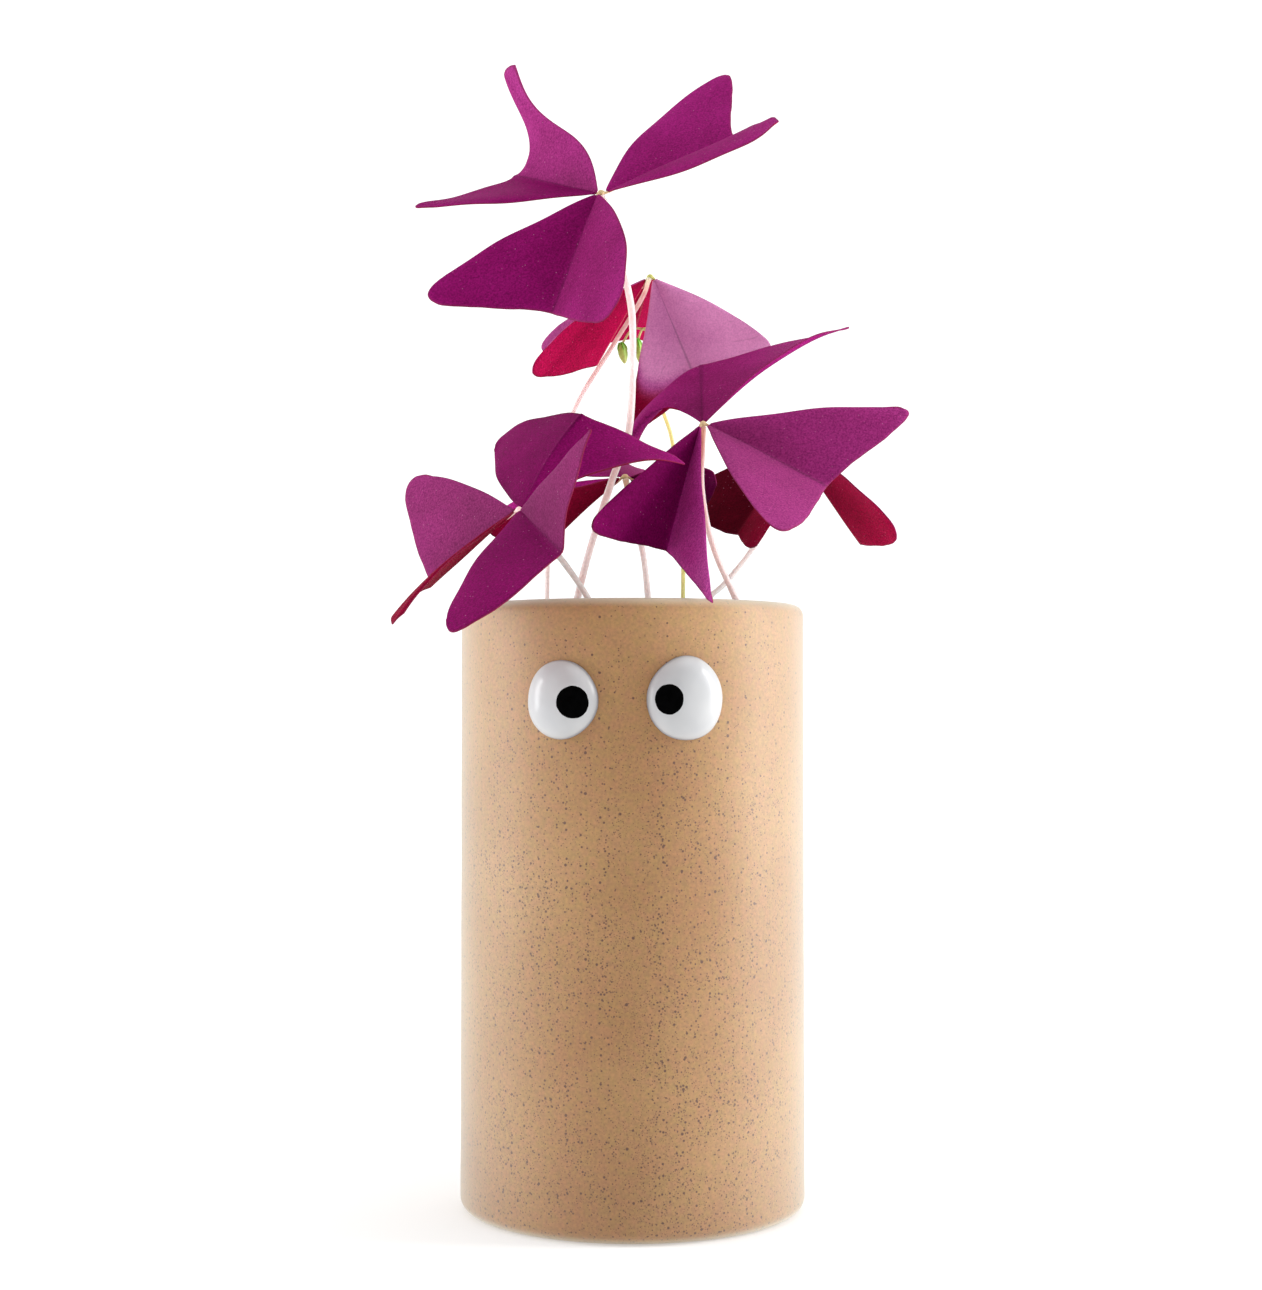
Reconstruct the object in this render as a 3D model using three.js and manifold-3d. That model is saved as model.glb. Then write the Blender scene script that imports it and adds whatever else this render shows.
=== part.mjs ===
// A purple shamrock (Oxalis triangularis) growing in a tall stoneware pot that wears two googly eyes.
// Millimetres, +Z up. The origin is the middle of the pot's flat underside, and -Y is the front.
import * as THREE from 'three';
import { mergeVertices } from 'three/addons/utils/BufferGeometryUtils.js';
import Module from 'manifold-3d';

const wasm = await Module();
wasm.setup();

// --- driving dimensions -------------------------------------------------------------------------

const fitGap = 0.3; // between pieces that touch

const potRadius = 45;
const potHeight = 157;
const potWall = 5;
const potFloor = 7;
const footRound = 3.5;
const rimOuterRound = 3;
const rimInnerRound = 1.8;
const potInnerRound = 4;
const potSides = 48;

const soilLevel = 145; // mean height of the soil's surface
const soilCrumb = 0.8; // height of its lumps
const soilRings = 6;
const soilSides = 36;

const eyeDome = 5; // how far an eye stands out of the pot
const eyeFullness = 0.8; // 1 is an ellipsoid, less is fuller at the sides
const eyeColumns = 24;
const eyeRows = 12;
const eyeSeatSides = 96; // of the round body that its back is cut to
const eyes = {
  eye_left: { turn: -22.6, height: 132, width: 18.3, tall: 19.6, phase: 0.4 },
  eye_right: { turn: 16.7, height: 132.3, width: 19.4, tall: 20.5, phase: 2.3 },
};

const petioleRadius = 0.95;
const stalkRadius = 0.65;
const stemSides = 8;
const petioleStep = 6; // length of a petiole's straight pieces, roughly
const stalkSteps = 22;
const umbelRadius = 1; // the small knot that the buds' pedicels leave
const pedicelRadius = 0.4;
const pedicelSides = 6;
const pedicelSteps = 4;
const footDrop = 4; // a stem leans on this far below the rim, then stands upright
const uprightFrom = 5; // above the soil
const uprightTo = 1; // below the soil
const stemFoot = 138; // stems end here, in their holes in the soil
const stemHoleRoom = 0.4;
const stemHoleSides = 10;

const knotRadius = 1.3; // where a leaf's three leaflets meet
const knotColumns = 10;
const knotRows = 8;
const ribRadius = 0.6; // a leaflet's short stalk and midrib
const ribSides = 6;
const ribSteps = 5;
const ribPlaces = [0.25, 0.5, 0.75, 0.98]; // the points it passes, as parts of the midrib
const stalkReach = 2; // from the knot's centre to the blade's base point
const stalkRise = 0.3; // it rises by this part of the midrib's rise
const crease = 34; // midrib length, from just off the base point to the notch
const creaseStart = 2.2;
const sideReach = 52; // from the base to a side tip
const bladeThickness = 0.7;
const bladeRows = 5;
const bladeColumns = 5;
const firstRow = 0.06; // the blade starts this part of the way along
const edgeSpread = 0.6; // a side edge ends this far outside its straight line
const edgeCurl = 0.55; // and has this part of the tip's curl there
const notchShare = 0.33; // how far from the notch to the tip the far edge takes its first bend
const bendPlace = 0.75; // across a half blade, where the last bend of its tip is full

// Each leaf: its hub, its size against a full-grown one, and three leaflets. Directions from the
// hub are [heading, rise] in degrees, heading 0 along +X and 90 along +Y (the back). A leaflet is two
// half blades that share the midrib; long gives midrib, left and right lengths against a full one.
const leaves = {
  a: {
    hub: [-8.1, -18, 262.4],
    size: 1.03,
    leaflets: [
      {
        mid: [132, 17], left: [169, -2], right: [119, 45], long: [1, 0.97, 1.04],
        leftShape: { belly: 3.5, bulge: -3, round: 0.12, sag: -2 },
        rightShape: {
          belly: 2, bulge: -18, round: 0.14, blunt: 0.12, wide: 8, lift: 3, sway: 2.6, tip: [-6, 0, 7],
        },
      },
      {
        mid: [0, 22], left: [38, 45], right: [-33, 11], long: [1, 1.04, 0.97],
        leftShape: { belly: 8, bellyPlace: 0.42, lift: 1, bulge: -3, round: 0.14 },
        rightShape: {
          belly: 7.5, bellyPlace: 0.78, lift: -4, sag: 3, bulge: 4, blunt: 0.04, round: 0.03, wide: 2,
        },
      },
      {
        mid: [-137, -64], left: [-80, -38], right: [-178, -28], long: [1, 1, 0.95],
        leftShape: { belly: 8, bellyPlace: 0.6 },
        rightShape: { belly: 3, bulge: -2 },
      },
    ],
  },
  b: {
    hub: [4.9, 32, 250.7],
    size: 0.885,
    leaflets: [
      {
        mid: [3, -66], left: [-12, -28], right: [180, -80], long: [1, 0.87, 0.88],
        leftShape: { bulge: 0, round: 0.15 },
        rightShape: { belly: -1.5 },
      },
      {
        mid: [140, -50], left: [-159, -35], right: [136, -14], long: [0.92, 0.93, 0.95],
        leftShape: { lift: 3 },
      },
      { mid: [99, -22], left: [122, -12], right: [65, -12] },
    ],
  },
  c: {
    hub: [18.4, -8, 204.1],
    size: 1.025,
    leaflets: [
      {
        mid: [-16, -28], left: [-3, 5], right: [-73, -34], long: [1, 1.02, 1],
        leftShape: { bulge: -2, round: 0.1, blunt: 0.1 },
        rightShape: { bulge: 1.5 },
      },
      {
        mid: [89, 33], left: [134, -29], right: [28, 33.5], long: [1, 0.52, 1.08],
        leftShape: { belly: -20, bellyPlace: 0.46, lift: 9, bulge: 2, sag: 9, curl: 9, round: 0.1 },
        rightShape: { lift: 9, sag: 1, bulge: -2 },
      },
      {
        mid: [-133, -67], left: [-88, -53], right: [-134, -33], long: [1, 1.15, 0.95],
        leftShape: { belly: -2, bulge: -2, round: 0, blunt: 0.05 },
        rightShape: { belly: 1, bulge: -1, round: 0.15 },
      },
    ],
  },
  d: {
    hub: [-27.7, -44, 178.3],
    size: 0.96,
    leaflets: [
      {
        mid: [50, 48], left: [103, 25], right: [18, 16], long: [1, 1, 0.91],
        leftShape: { arch: 3, belly: 5, bulge: 5, round: 0.17 },
        rightShape: { arch: 3, belly: -1, lift: 14, bulge: 0, blunt: 0.05, round: 0.03 },
      },
      {
        mid: [146, -33], left: [-150, -34], right: [130, 18], long: [0.93, 0.87, 0.92],
        leftShape: { belly: 1, round: 0.12, bulge: 0, tip: [2, 0, -4] },
      },
      {
        mid: [-69, -21], left: [-68, 17], right: [-115, -38], long: [1, 1.05, 1.03],
        leftShape: { belly: 0, bulge: -8, round: 0.02, blunt: 0.09 },
        rightShape: { belly: 7, bulge: 5, round: 0.2 },
      },
    ],
  },
  e: {
    hub: [-2, 16, 192.8],
    size: 0.98,
    leaflets: [
      {
        mid: [-172, -42], left: [-149, -17], right: [152, -9], long: [0.8, 0.81, 0.85],
        rightShape: { lift: 3 },
      },
      {
        mid: [6, -17], left: [76, -16], right: [-24, 5], long: [0.65, 0.56, 0.47],
        leftShape: { belly: 0, bulge: -3, round: 0.1 },
        rightShape: { belly: 3, lift: 2, bulge: 1, round: 0.15 },
      },
      { mid: [100, 16], left: [124, 8], right: [80, 6], long: [1, 0.95, 1] },
    ],
  },
  f: {
    hub: [44.6, 28, 201.1],
    size: 0.87,
    leaflets: [
      {
        mid: [-10, -55], left: [44, -22], right: [-47, -30], long: [1, 1, 0.9],
        rightShape: { belly: 7 },
      },
      { mid: [102, -12], left: [135, -14], right: [72, -4], long: [1, 0.8, 1] },
      {
        mid: [-146, -52], left: [-110, -45], right: [157, -13], long: [0.96, 0.75, 0.72],
        leftShape: { belly: 4, bulge: 3 },
        rightShape: { belly: 2, lift: 2, bulge: 5, blunt: 0.18 },
      },
    ],
  },
};

// How a half blade is shaped, in millimetres on a full-grown leaf unless it says otherwise.
const plainShape = {
  belly: 3.2, // the side edge bows outward by about half of this
  bellyPlace: 0.58, // where along the side edge, as a part of it
  lift: 0, // the side edge bows upward
  sway: 0, // the side edge swings out near the base and in near the tip
  cup: 1.5, // the middle of the half blade bows upward
  arch: 0, // the midrib bows upward
  curl: 0, // the side tip turns upward
  bulge: 2.5, // the far edge stands out beside the notch
  sag: 0, // and rises there
  blunt: 0.13, // the side edge stops short of the tip, as a part of the reach
  round: 0.25, // how broadly it rounds the tip, as a part of the reach
  wide: 0, // the tip is this much broader towards the midrib
  tip: [0, 0, 0], // a last bend of the tip, in real millimetres
};

// Where each petiole goes after its leaf's hub, down to the level of the pot's rim.
const petioles = {
  a: [[-1.4, -17, 238.8], [0.1, -15, 224.9], [-0.9, -13, 201.9], [-5.3, -11, 189.1], [-11.1, -9, 171.1],
    [-14.4, -8, 158.1]],
  b: [[2.4, 29, 243.7], [-6.2, 28, 229.5], [-15.9, 27, 213.2], [-21.4, 35, 196.8], [-23.4, 34, 179.9],
    [-23.6, 26, 159.9]],
  c: [[17.9, -8, 189.5], [19.2, -8, 179], [22.4, -6, 168.7], [27.2, -2, 158.4]],
  d: [[-23.6, -38, 173.2], [-17.8, -26, 167.3], [-11.1, -18, 157.6]],
  e: [[-0.1, 14, 183.6], [2.8, 10, 171.7], [4.2, 8, 158.9]],
  f: [[40.6, 31, 188], [34.1, 30, 175.4], [25.7, 22, 164.6], [20.5, 17, 159.4]],
};

// The flower stalk from its umbel down to the rim, and the young buds that nod from it.
const umbel = [5.6, 47, 238];
const stalkRoute = [[5.1, 49, 228.7], [8.3, 51, 217.1], [11.4, 51, 207.3], [13.3, 44, 189.3],
  [14.2, 36, 171.6], [14, 28, 160]];
const buds = [
  { calyx: [-3.3, 45.6, 234.4], tip: [-2.2, 45.2, 228.6], width: 2.7 },
  { calyx: [1.3, 45.4, 235.6], tip: [2.3, 44.8, 228.4], width: 2.3 },
  { calyx: [4.9, 46.6, 237], tip: [3.6, 46.2, 234.8], width: 1.4 },
];

const colours = {
  pot: { color: 0xc79a70, roughness: 0.85, metalness: 0 },
  soil: { color: 0x2c1e15, roughness: 1, metalness: 0 },
  eye: { color: 0xf2efe9, roughness: 0.15, metalness: 0 },
  petiole: { color: 0xd3a08e, roughness: 0.5, metalness: 0 },
  leaf: { color: 0x6e1250, roughness: 0.55, metalness: 0 },
  flower: { color: 0xb9b552, roughness: 0.55, metalness: 0 },
};

// --- helpers ------------------------------------------------------------------------------------

const vector = (xyz) => new THREE.Vector3(...xyz);
const radians = THREE.MathUtils.degToRad;

// The point reached from a start by going the given amounts along the given directions.
function go(start, ...moves) {
  const end = start.clone();
  for (const [way, amount] of moves) {
    end.addScaledVector(way, amount);
  }
  return end;
}

function direction([heading, rise]) {
  const flat = Math.cos(radians(rise));
  return new THREE.Vector3(
    flat * Math.cos(radians(heading)),
    flat * Math.sin(radians(heading)),
    Math.sin(radians(rise)),
  );
}

// The unit normal of the triangle from a common corner to two others.
function facing(corner, first, second) {
  const across = new THREE.Vector3().subVectors(second, corner);
  return new THREE.Vector3().subVectors(first, corner).cross(across).normalize();
}

function solidOf(geometry) {
  const bare = new THREE.BufferGeometry();
  bare.setAttribute('position', geometry.getAttribute('position'));
  bare.setIndex(geometry.index);
  const merged = mergeVertices(bare, 1e-4);
  const corners = merged.index.array;
  const kept = [];
  for (let i = 0; i < corners.length; i += 3) {
    const [a, b, c] = corners.subarray(i, i + 3);
    if (a !== b && b !== c && c !== a) {
      kept.push(a, b, c);
    }
  }
  const vertProperties = merged.getAttribute('position').array;
  const triVerts = new Uint32Array(kept);
  return new wasm.Manifold(new wasm.Mesh({ numProp: 3, vertProperties, triVerts }));
}

function geometryOf(solid) {
  const mesh = solid.getMesh();
  const geometry = new THREE.BufferGeometry();
  geometry.setAttribute('position', new THREE.BufferAttribute(mesh.vertProperties, 3));
  geometry.setIndex(new THREE.BufferAttribute(mesh.triVerts, 1));
  geometry.computeVertexNormals();
  return geometry;
}

// A round tube along a smooth curve through the points. A full circle gets two sides a curve segment.
function tube(points, radius, sides, steps) {
  const section = new THREE.Shape().absarc(0, 0, radius, 0, 2 * Math.PI);
  const extrudePath = new THREE.CatmullRomCurve3(points, false, 'catmullrom', 0.5);
  return new THREE.ExtrudeGeometry(section, { curveSegments: sides / 2, steps, extrudePath });
}

function knotAt(centre, radius) {
  return solidOf(new THREE.SphereGeometry(radius, knotColumns, knotRows).translate(...centre.toArray()));
}

// A quarter turn of an edge's rounding, from one angle in degrees to another, as profile points.
function quarter(x, y, radius, from, to, pieces) {
  const points = [];
  for (let i = 0; i <= pieces; i += 1) {
    const angle = radians(from + ((to - from) * i) / pieces);
    points.push(new THREE.Vector2(x + radius * Math.cos(angle), y + radius * Math.sin(angle)));
  }
  return points;
}

// --- pot, soil and eyes -------------------------------------------------------------------------

const innerRadius = potRadius - potWall;

function makePot() {
  const profile = [
    new THREE.Vector2(0, 0),
    ...quarter(potRadius - footRound, footRound, footRound, -90, 0, 3),
    ...quarter(potRadius - rimOuterRound, potHeight - rimOuterRound, rimOuterRound, 0, 90, 4),
    ...quarter(innerRadius + rimInnerRound, potHeight - rimInnerRound, rimInnerRound, 90, 180, 3),
    ...quarter(innerRadius - potInnerRound, potFloor + potInnerRound, potInnerRound, 0, -90, 2),
    new THREE.Vector2(0, potFloor),
  ];
  return new THREE.LatheGeometry(profile, potSides).rotateX(Math.PI / 2);
}

// Low lumps that keep to the soil's height, and a slight mound in the middle.
function soilHeight(x, y) {
  const lumps = Math.sin(0.31 * x + 0.8) * Math.cos(0.27 * y - 0.5) + 0.5 * Math.sin(0.55 * x - 0.62 * y);
  const mound = 1 - Math.hypot(x, y) / innerRadius;
  return soilLevel + soilCrumb * (lumps + mound);
}

function makeSoil(stemFeet) {
  const radius = innerRadius - fitGap;
  const bottom = potFloor + fitGap;
  const profile = [
    new THREE.Vector2(0, bottom),
    ...quarter(radius - potInnerRound, bottom + potInnerRound, potInnerRound, -90, 0, 2),
  ];
  for (let ring = soilRings; ring >= 0; ring -= 1) {
    profile.push(new THREE.Vector2((radius * ring) / soilRings, soilLevel));
  }
  const lathe = new THREE.LatheGeometry(profile, soilSides).rotateX(Math.PI / 2);
  const place = lathe.getAttribute('position');
  for (let i = 0; i < place.count; i += 1) {
    if (place.getZ(i) > soilLevel - 1) {
      place.setZ(i, soilHeight(place.getX(i), place.getY(i)));
    }
  }
  let soil = solidOf(lathe);
  for (const { foot, radius: stem } of stemFeet) {
    const deep = stemFoot - fitGap;
    const length = potHeight - deep;
    const wide = stem + stemHoleRoom;
    const hole = new THREE.CylinderGeometry(wide, wide, length, stemHoleSides);
    hole.rotateX(Math.PI / 2).translate(foot.x, foot.y, deep + length / 2);
    soil = soil.subtract(solidOf(hole));
  }
  return geometryOf(soil);
}

// A glazed dome with a hand-made, slightly uneven oval outline, hollowed to sit on the round pot.
function makeEye({ turn, height, width, tall, phase }) {
  const dome = new THREE.SphereGeometry(1, eyeColumns, eyeRows);
  const place = dome.getAttribute('position');
  for (let i = 0; i < place.count; i += 1) {
    const [x, y, z] = [place.getX(i), place.getY(i), place.getZ(i)];
    const around = Math.atan2(z, x);
    const outline = 1 + 0.015 * Math.cos(3 * around + phase) + 0.01 * Math.cos(2 * around - phase);
    const out = Math.sign(y) * Math.abs(y) ** eyeFullness;
    place.setXYZ(i, (x * width * outline) / 2, out * eyeDome, (z * tall * outline) / 2);
  }
  dome.translate(0, -potRadius, 0).rotateZ(radians(turn)).translate(0, 0, height);
  const seat = potRadius + fitGap;
  const body = new THREE.CylinderGeometry(seat, seat, 2 * tall, eyeSeatSides);
  body.rotateX(Math.PI / 2).translate(0, 0, height);
  return geometryOf(solidOf(dome).subtract(solidOf(body)));
}

// --- leaves -------------------------------------------------------------------------------------

// One half of a leaflet as a surface: u runs from the base to the far edge, v from the midrib to
// the side edge. The far edge is one Bezier curve from the notch to the side edge's end, and each
// line from the base to it is a Bezier arc.
function halfBlade(base, notch, sideTip, side, creaseUp, size, shape) {
  const s = { ...plainShape, ...shape };
  const up = facing(base, notch, sideTip).multiplyScalar(side);
  const along = new THREE.Vector3().subVectors(sideTip, base).normalize();
  const forward = new THREE.Vector3().subVectors(notch, base).normalize();
  const outward = new THREE.Vector3().crossVectors(up, along).multiplyScalar(side);
  const toTip = new THREE.Vector3().subVectors(sideTip, notch);
  const reach = sideTip.distanceTo(base);
  const bend = vector(s.tip);

  const edgeEnd = go(
    base,
    [along, reach * (1 - s.blunt)],
    [outward, edgeSpread * size],
    [up, edgeCurl * s.curl * size],
  );
  const toEnd = new THREE.Vector3().subVectors(edgeEnd, base);
  const bow = go(base, [toEnd, s.bellyPlace], [outward, s.belly * size], [up, s.lift * size]);
  const endHeading = new THREE.Vector3().subVectors(edgeEnd, bow).normalize();
  const farEdge = new THREE.CubicBezierCurve3(
    notch,
    go(notch, [toTip, notchShare], [forward, s.bulge * size], [up, s.sag * size]),
    go(
      edgeEnd,
      [endHeading, reach * (s.blunt + s.round)],
      [up, s.curl * size],
      [outward, -s.wide * size],
    ),
    edgeEnd,
  );

  return (u, v) => {
    const far = farEdge.getPoint(v);
    const span = new THREE.Vector3().subVectors(far, base);
    const control = go(
      base,
      [span, 0.5 + (s.bellyPlace - 0.5) * v],
      [creaseUp, (1 - v) * s.arch * size],
      [outward, v * s.belly * size],
      [up, v * s.lift * size + 4 * v * (1 - v) * s.cup * size],
    );
    return go(
      base.clone().multiplyScalar((1 - u) ** 2),
      [control, 2 * u * (1 - u)],
      [far, u ** 2],
      [bend, u ** 3 * Math.min(1, v / bendPlace) ** 2],
      [outward, v ** 2 * s.sway * size * Math.sin(2 * Math.PI * u)],
    );
  };
}

// A sheet of even thickness round a surface, with both faces split into triangles alike.
function sheet(surface, thickness) {
  const across = bladeColumns + 1;
  const count = across * (bladeRows + 1);
  const upper = [];
  const lower = [];
  const step = 0.01;
  for (let row = 0; row <= bladeRows; row += 1) {
    for (let column = 0; column <= bladeColumns; column += 1) {
      const u = firstRow + ((1 - firstRow) * row) / bladeRows;
      const v = column / bladeColumns;
      const alongU = surface(u + step, v).sub(surface(u - step, v));
      const alongV = surface(u, v + step).sub(surface(u, v - step));
      const normal = alongU.cross(alongV).normalize();
      const point = surface(u, v);
      upper.push(...go(point, [normal, thickness / 2]).toArray());
      lower.push(...go(point, [normal, -thickness / 2]).toArray());
    }
  }
  const index = [];
  for (let row = 0; row < bladeRows; row += 1) {
    for (let column = 0; column < bladeColumns; column += 1) {
      const a = row * across + column;
      const b = a + across;
      index.push(a, b, b + 1, a, b + 1, a + 1);
      index.push(a + count, b + 1 + count, b + count, a + count, a + 1 + count, b + 1 + count);
    }
  }
  const rim = [];
  for (let row = 0; row < bladeRows; row += 1) {
    rim.push(row * across);
  }
  for (let column = 0; column < bladeColumns; column += 1) {
    rim.push(bladeRows * across + column);
  }
  for (let row = bladeRows; row > 0; row -= 1) {
    rim.push(row * across + bladeColumns);
  }
  for (let column = bladeColumns; column > 0; column -= 1) {
    rim.push(column);
  }
  rim.forEach((p, i) => {
    const q = rim[(i + 1) % rim.length];
    index.push(p + count, q + count, q, p + count, q, p);
  });
  const geometry = new THREE.BufferGeometry();
  geometry.setAttribute('position', new THREE.Float32BufferAttribute([...upper, ...lower], 3));
  geometry.setIndex(index);
  return geometry;
}

// Two half blades, with the short stalk that goes on as their midrib.
function addLeaflet(leaf, hub, size, { mid, left, right, long = [1, 1, 1], leftShape, rightShape }) {
  const start = go(hub, [direction(mid), creaseStart]);
  const notch = go(start, [direction(mid), crease * size * long[0]]);
  const leftTip = go(start, [direction(left), sideReach * size * long[1]]);
  const rightTip = go(start, [direction(right), sideReach * size * long[2]]);
  const base = go(hub, [direction([mid[0], stalkRise * mid[1]]), stalkReach]);
  const creaseUp = facing(base, notch, leftTip).add(facing(base, rightTip, notch)).normalize();
  const leftHalf = halfBlade(base, notch, leftTip, 1, creaseUp, size, leftShape);
  const rightHalf = halfBlade(base, notch, rightTip, -1, creaseUp, size, rightShape);
  const rib = [base, ...ribPlaces.map((u) => leftHalf(u, 0))];
  return leaf
    .add(solidOf(sheet(leftHalf, bladeThickness)))
    .add(solidOf(sheet(rightHalf, bladeThickness)))
    .add(solidOf(tube([hub, base], ribRadius, ribSides, 1)))
    .add(solidOf(tube(rib, ribRadius, ribSides, ribSteps)));
}

function makeLeaf({ hub, size, leaflets }) {
  const centre = vector(hub);
  let leaf = knotAt(centre, knotRadius);
  for (const leaflet of leaflets) {
    leaf = addLeaflet(leaf, centre, size, leaflet);
  }
  return geometryOf(leaf);
}

// --- stems --------------------------------------------------------------------------------------

// A stem's points from its top: it leans on a little below the rim, then stands upright in its hole.
function stemPath(top, route) {
  const [before, rim] = route.slice(-2).map(vector);
  const lean = new THREE.Vector3().subVectors(rim, before);
  const foot = go(rim, [lean, footDrop / Math.abs(lean.z)]);
  const heights = [soilLevel + uprightFrom, soilLevel - uprightTo, stemFoot];
  const upright = heights.map((z) => new THREE.Vector3(foot.x, foot.y, z));
  return [top, ...route.map(vector), ...upright];
}

function makeFlower(path) {
  const top = path[0];
  let flower = solidOf(tube(path, stalkRadius, stemSides, stalkSteps)).add(knotAt(top, umbelRadius));
  for (const { calyx, tip, width } of buds) {
    const [from, to] = [vector(calyx), vector(tip)];
    const half = from.distanceTo(to) / 2;
    const bud = new THREE.SphereGeometry(1, 8, 6).scale(width / 2, half, width / 2);
    const turn = new THREE.Quaternion().setFromUnitVectors(
      new THREE.Vector3(0, -1, 0),
      new THREE.Vector3().subVectors(to, from).normalize(),
    );
    bud.applyQuaternion(turn).translate(...new THREE.Vector3().lerpVectors(from, to, 0.5).toArray());
    const arched = new THREE.Vector3().lerpVectors(top, from, 0.6).setZ(Math.max(top.z, from.z) + 0.5);
    const end = new THREE.Vector3().lerpVectors(from, to, 0.25);
    const pedicel = tube([top, arched, end], pedicelRadius, pedicelSides, pedicelSteps);
    flower = flower.add(solidOf(bud)).add(solidOf(pedicel));
  }
  return geometryOf(flower);
}

// --- the plant in its pot -----------------------------------------------------------------------

const group = new THREE.Group();

function place(name, geometry, look) {
  const mesh = new THREE.Mesh(geometry, new THREE.MeshStandardMaterial(look));
  mesh.name = name;
  group.add(mesh);
}

const stemPaths = {};
for (const [letter, route] of Object.entries(petioles)) {
  const hub = vector(leaves[letter].hub);
  const away = new THREE.Vector3().subVectors(vector(route[0]), hub).normalize();
  stemPaths[letter] = stemPath(go(hub, [away, knotRadius + fitGap]), route);
}
const stalkPath = stemPath(vector(umbel), stalkRoute);

const stemFeet = Object.values(stemPaths).map((path) => ({ foot: path.at(-1), radius: petioleRadius }));
stemFeet.push({ foot: stalkPath.at(-1), radius: stalkRadius });

place('pot', makePot(), colours.pot);
place('soil', makeSoil(stemFeet), colours.soil);
for (const [name, eye] of Object.entries(eyes)) {
  place(name, makeEye(eye), colours.eye);
}
for (const [letter, path] of Object.entries(stemPaths)) {
  const steps = Math.round(new THREE.CatmullRomCurve3(path).getLength() / petioleStep);
  place(`petiole_${letter}`, tube(path, petioleRadius, stemSides, steps), colours.petiole);
}
for (const [letter, leaf] of Object.entries(leaves)) {
  place(`leaf_${letter}`, makeLeaf(leaf), colours.leaf);
}
place('flower_stalk', makeFlower(stalkPath), colours.flower);

export default group;
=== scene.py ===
import math
import bpy
import bmesh
import numpy as np
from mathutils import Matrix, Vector


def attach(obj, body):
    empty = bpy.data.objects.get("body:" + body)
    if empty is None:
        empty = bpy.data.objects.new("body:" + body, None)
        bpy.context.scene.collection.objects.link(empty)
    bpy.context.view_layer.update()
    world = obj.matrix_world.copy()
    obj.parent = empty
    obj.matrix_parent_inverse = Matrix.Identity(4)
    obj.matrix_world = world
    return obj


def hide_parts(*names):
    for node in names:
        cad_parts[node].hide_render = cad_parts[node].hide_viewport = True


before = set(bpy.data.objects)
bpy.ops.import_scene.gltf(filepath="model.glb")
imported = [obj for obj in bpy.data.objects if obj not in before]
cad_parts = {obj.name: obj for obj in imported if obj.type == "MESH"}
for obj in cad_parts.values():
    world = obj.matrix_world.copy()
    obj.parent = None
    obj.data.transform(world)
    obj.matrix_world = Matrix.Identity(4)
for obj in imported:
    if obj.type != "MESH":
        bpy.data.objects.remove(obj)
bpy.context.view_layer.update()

# every shape below is worked out in millimetres and put into its mesh in metres
mm = 0.001
rng = np.random.default_rng(41)


# small tools for meshes

def unit(v):
    # vectors made one long, and a zero vector left as it is
    return v / np.maximum(np.linalg.norm(v, axis=-1, keepdims=True), 1e-12)


def direction(angles):
    # heading and rise in degrees to a unit vector, heading 0 along +X and 90 along +Y
    heading, rise = np.radians(angles)
    level = math.cos(rise)
    return np.array([level * math.cos(heading), level * math.sin(heading), math.sin(rise)])


def makeMesh(name, points, quads, material, node=None, tris=None, uv=None, attributes=None):
    # puts whole arrays of points and faces into a mesh, with float attributes and one UV map
    mesh = bpy.data.meshes.new(name)
    groups = [np.asarray(f, np.int32) for f in (quads, tris) if f is not None and len(f)]
    corners = np.concatenate([f.ravel() for f in groups])
    sizes = np.concatenate([np.full(len(f), f.shape[1]) for f in groups])
    starts = np.concatenate([[0], np.cumsum(sizes)[:-1]])
    mesh.vertices.add(len(points))
    mesh.vertices.foreach_set("co", (np.asarray(points) * mm).ravel())
    mesh.loops.add(len(corners))
    mesh.loops.foreach_set("vertex_index", corners)
    mesh.polygons.add(len(sizes))
    mesh.polygons.foreach_set("loop_start", starts.astype(np.int32))
    mesh.update(calc_edges=True)
    mesh.polygons.foreach_set("use_smooth", np.ones(len(sizes), bool))
    if uv is not None:
        layer = mesh.uv_layers.new(name="UVMap")
        layer.data.foreach_set("uv", np.asarray(uv)[corners].ravel())
    for key, values in (attributes or {}).items():
        layer = mesh.attributes.new(key, "FLOAT", "POINT")
        layer.data.foreach_set("value", np.asarray(values, np.float32).ravel())
    mesh.materials.append(material)
    mesh.validate()
    piece = bpy.data.objects.new(name, mesh)
    bpy.context.collection.objects.link(piece)
    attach(piece, "root")
    if node:
        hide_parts(node)
    return piece


def gridQuads(rows, columns, wrap=False):
    # quads of a grid of points, row by row; with wrap the last column joins the first
    i = np.arange(rows - 1)[:, None]
    j = np.arange(columns if wrap else columns - 1)[None, :]
    k = (j + 1) % columns
    a, b, c, d = i * columns + j, i * columns + k, (i + 1) * columns + k, (i + 1) * columns + j
    return np.stack([a, b, c, d], -1).reshape(-1, 4)


def fan(centre, ring, turn=False):
    # triangles from one point to a closed ring of points
    ring = np.asarray(ring)
    after = np.roll(ring, -1)
    first, second = (after, ring) if turn else (ring, after)
    return np.stack([np.full(len(ring), centre), first, second], -1)


def ringAngles(count):
    # even angles round a ring, as one row
    return np.linspace(0, 2 * np.pi, count, endpoint=False)[None]


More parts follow.
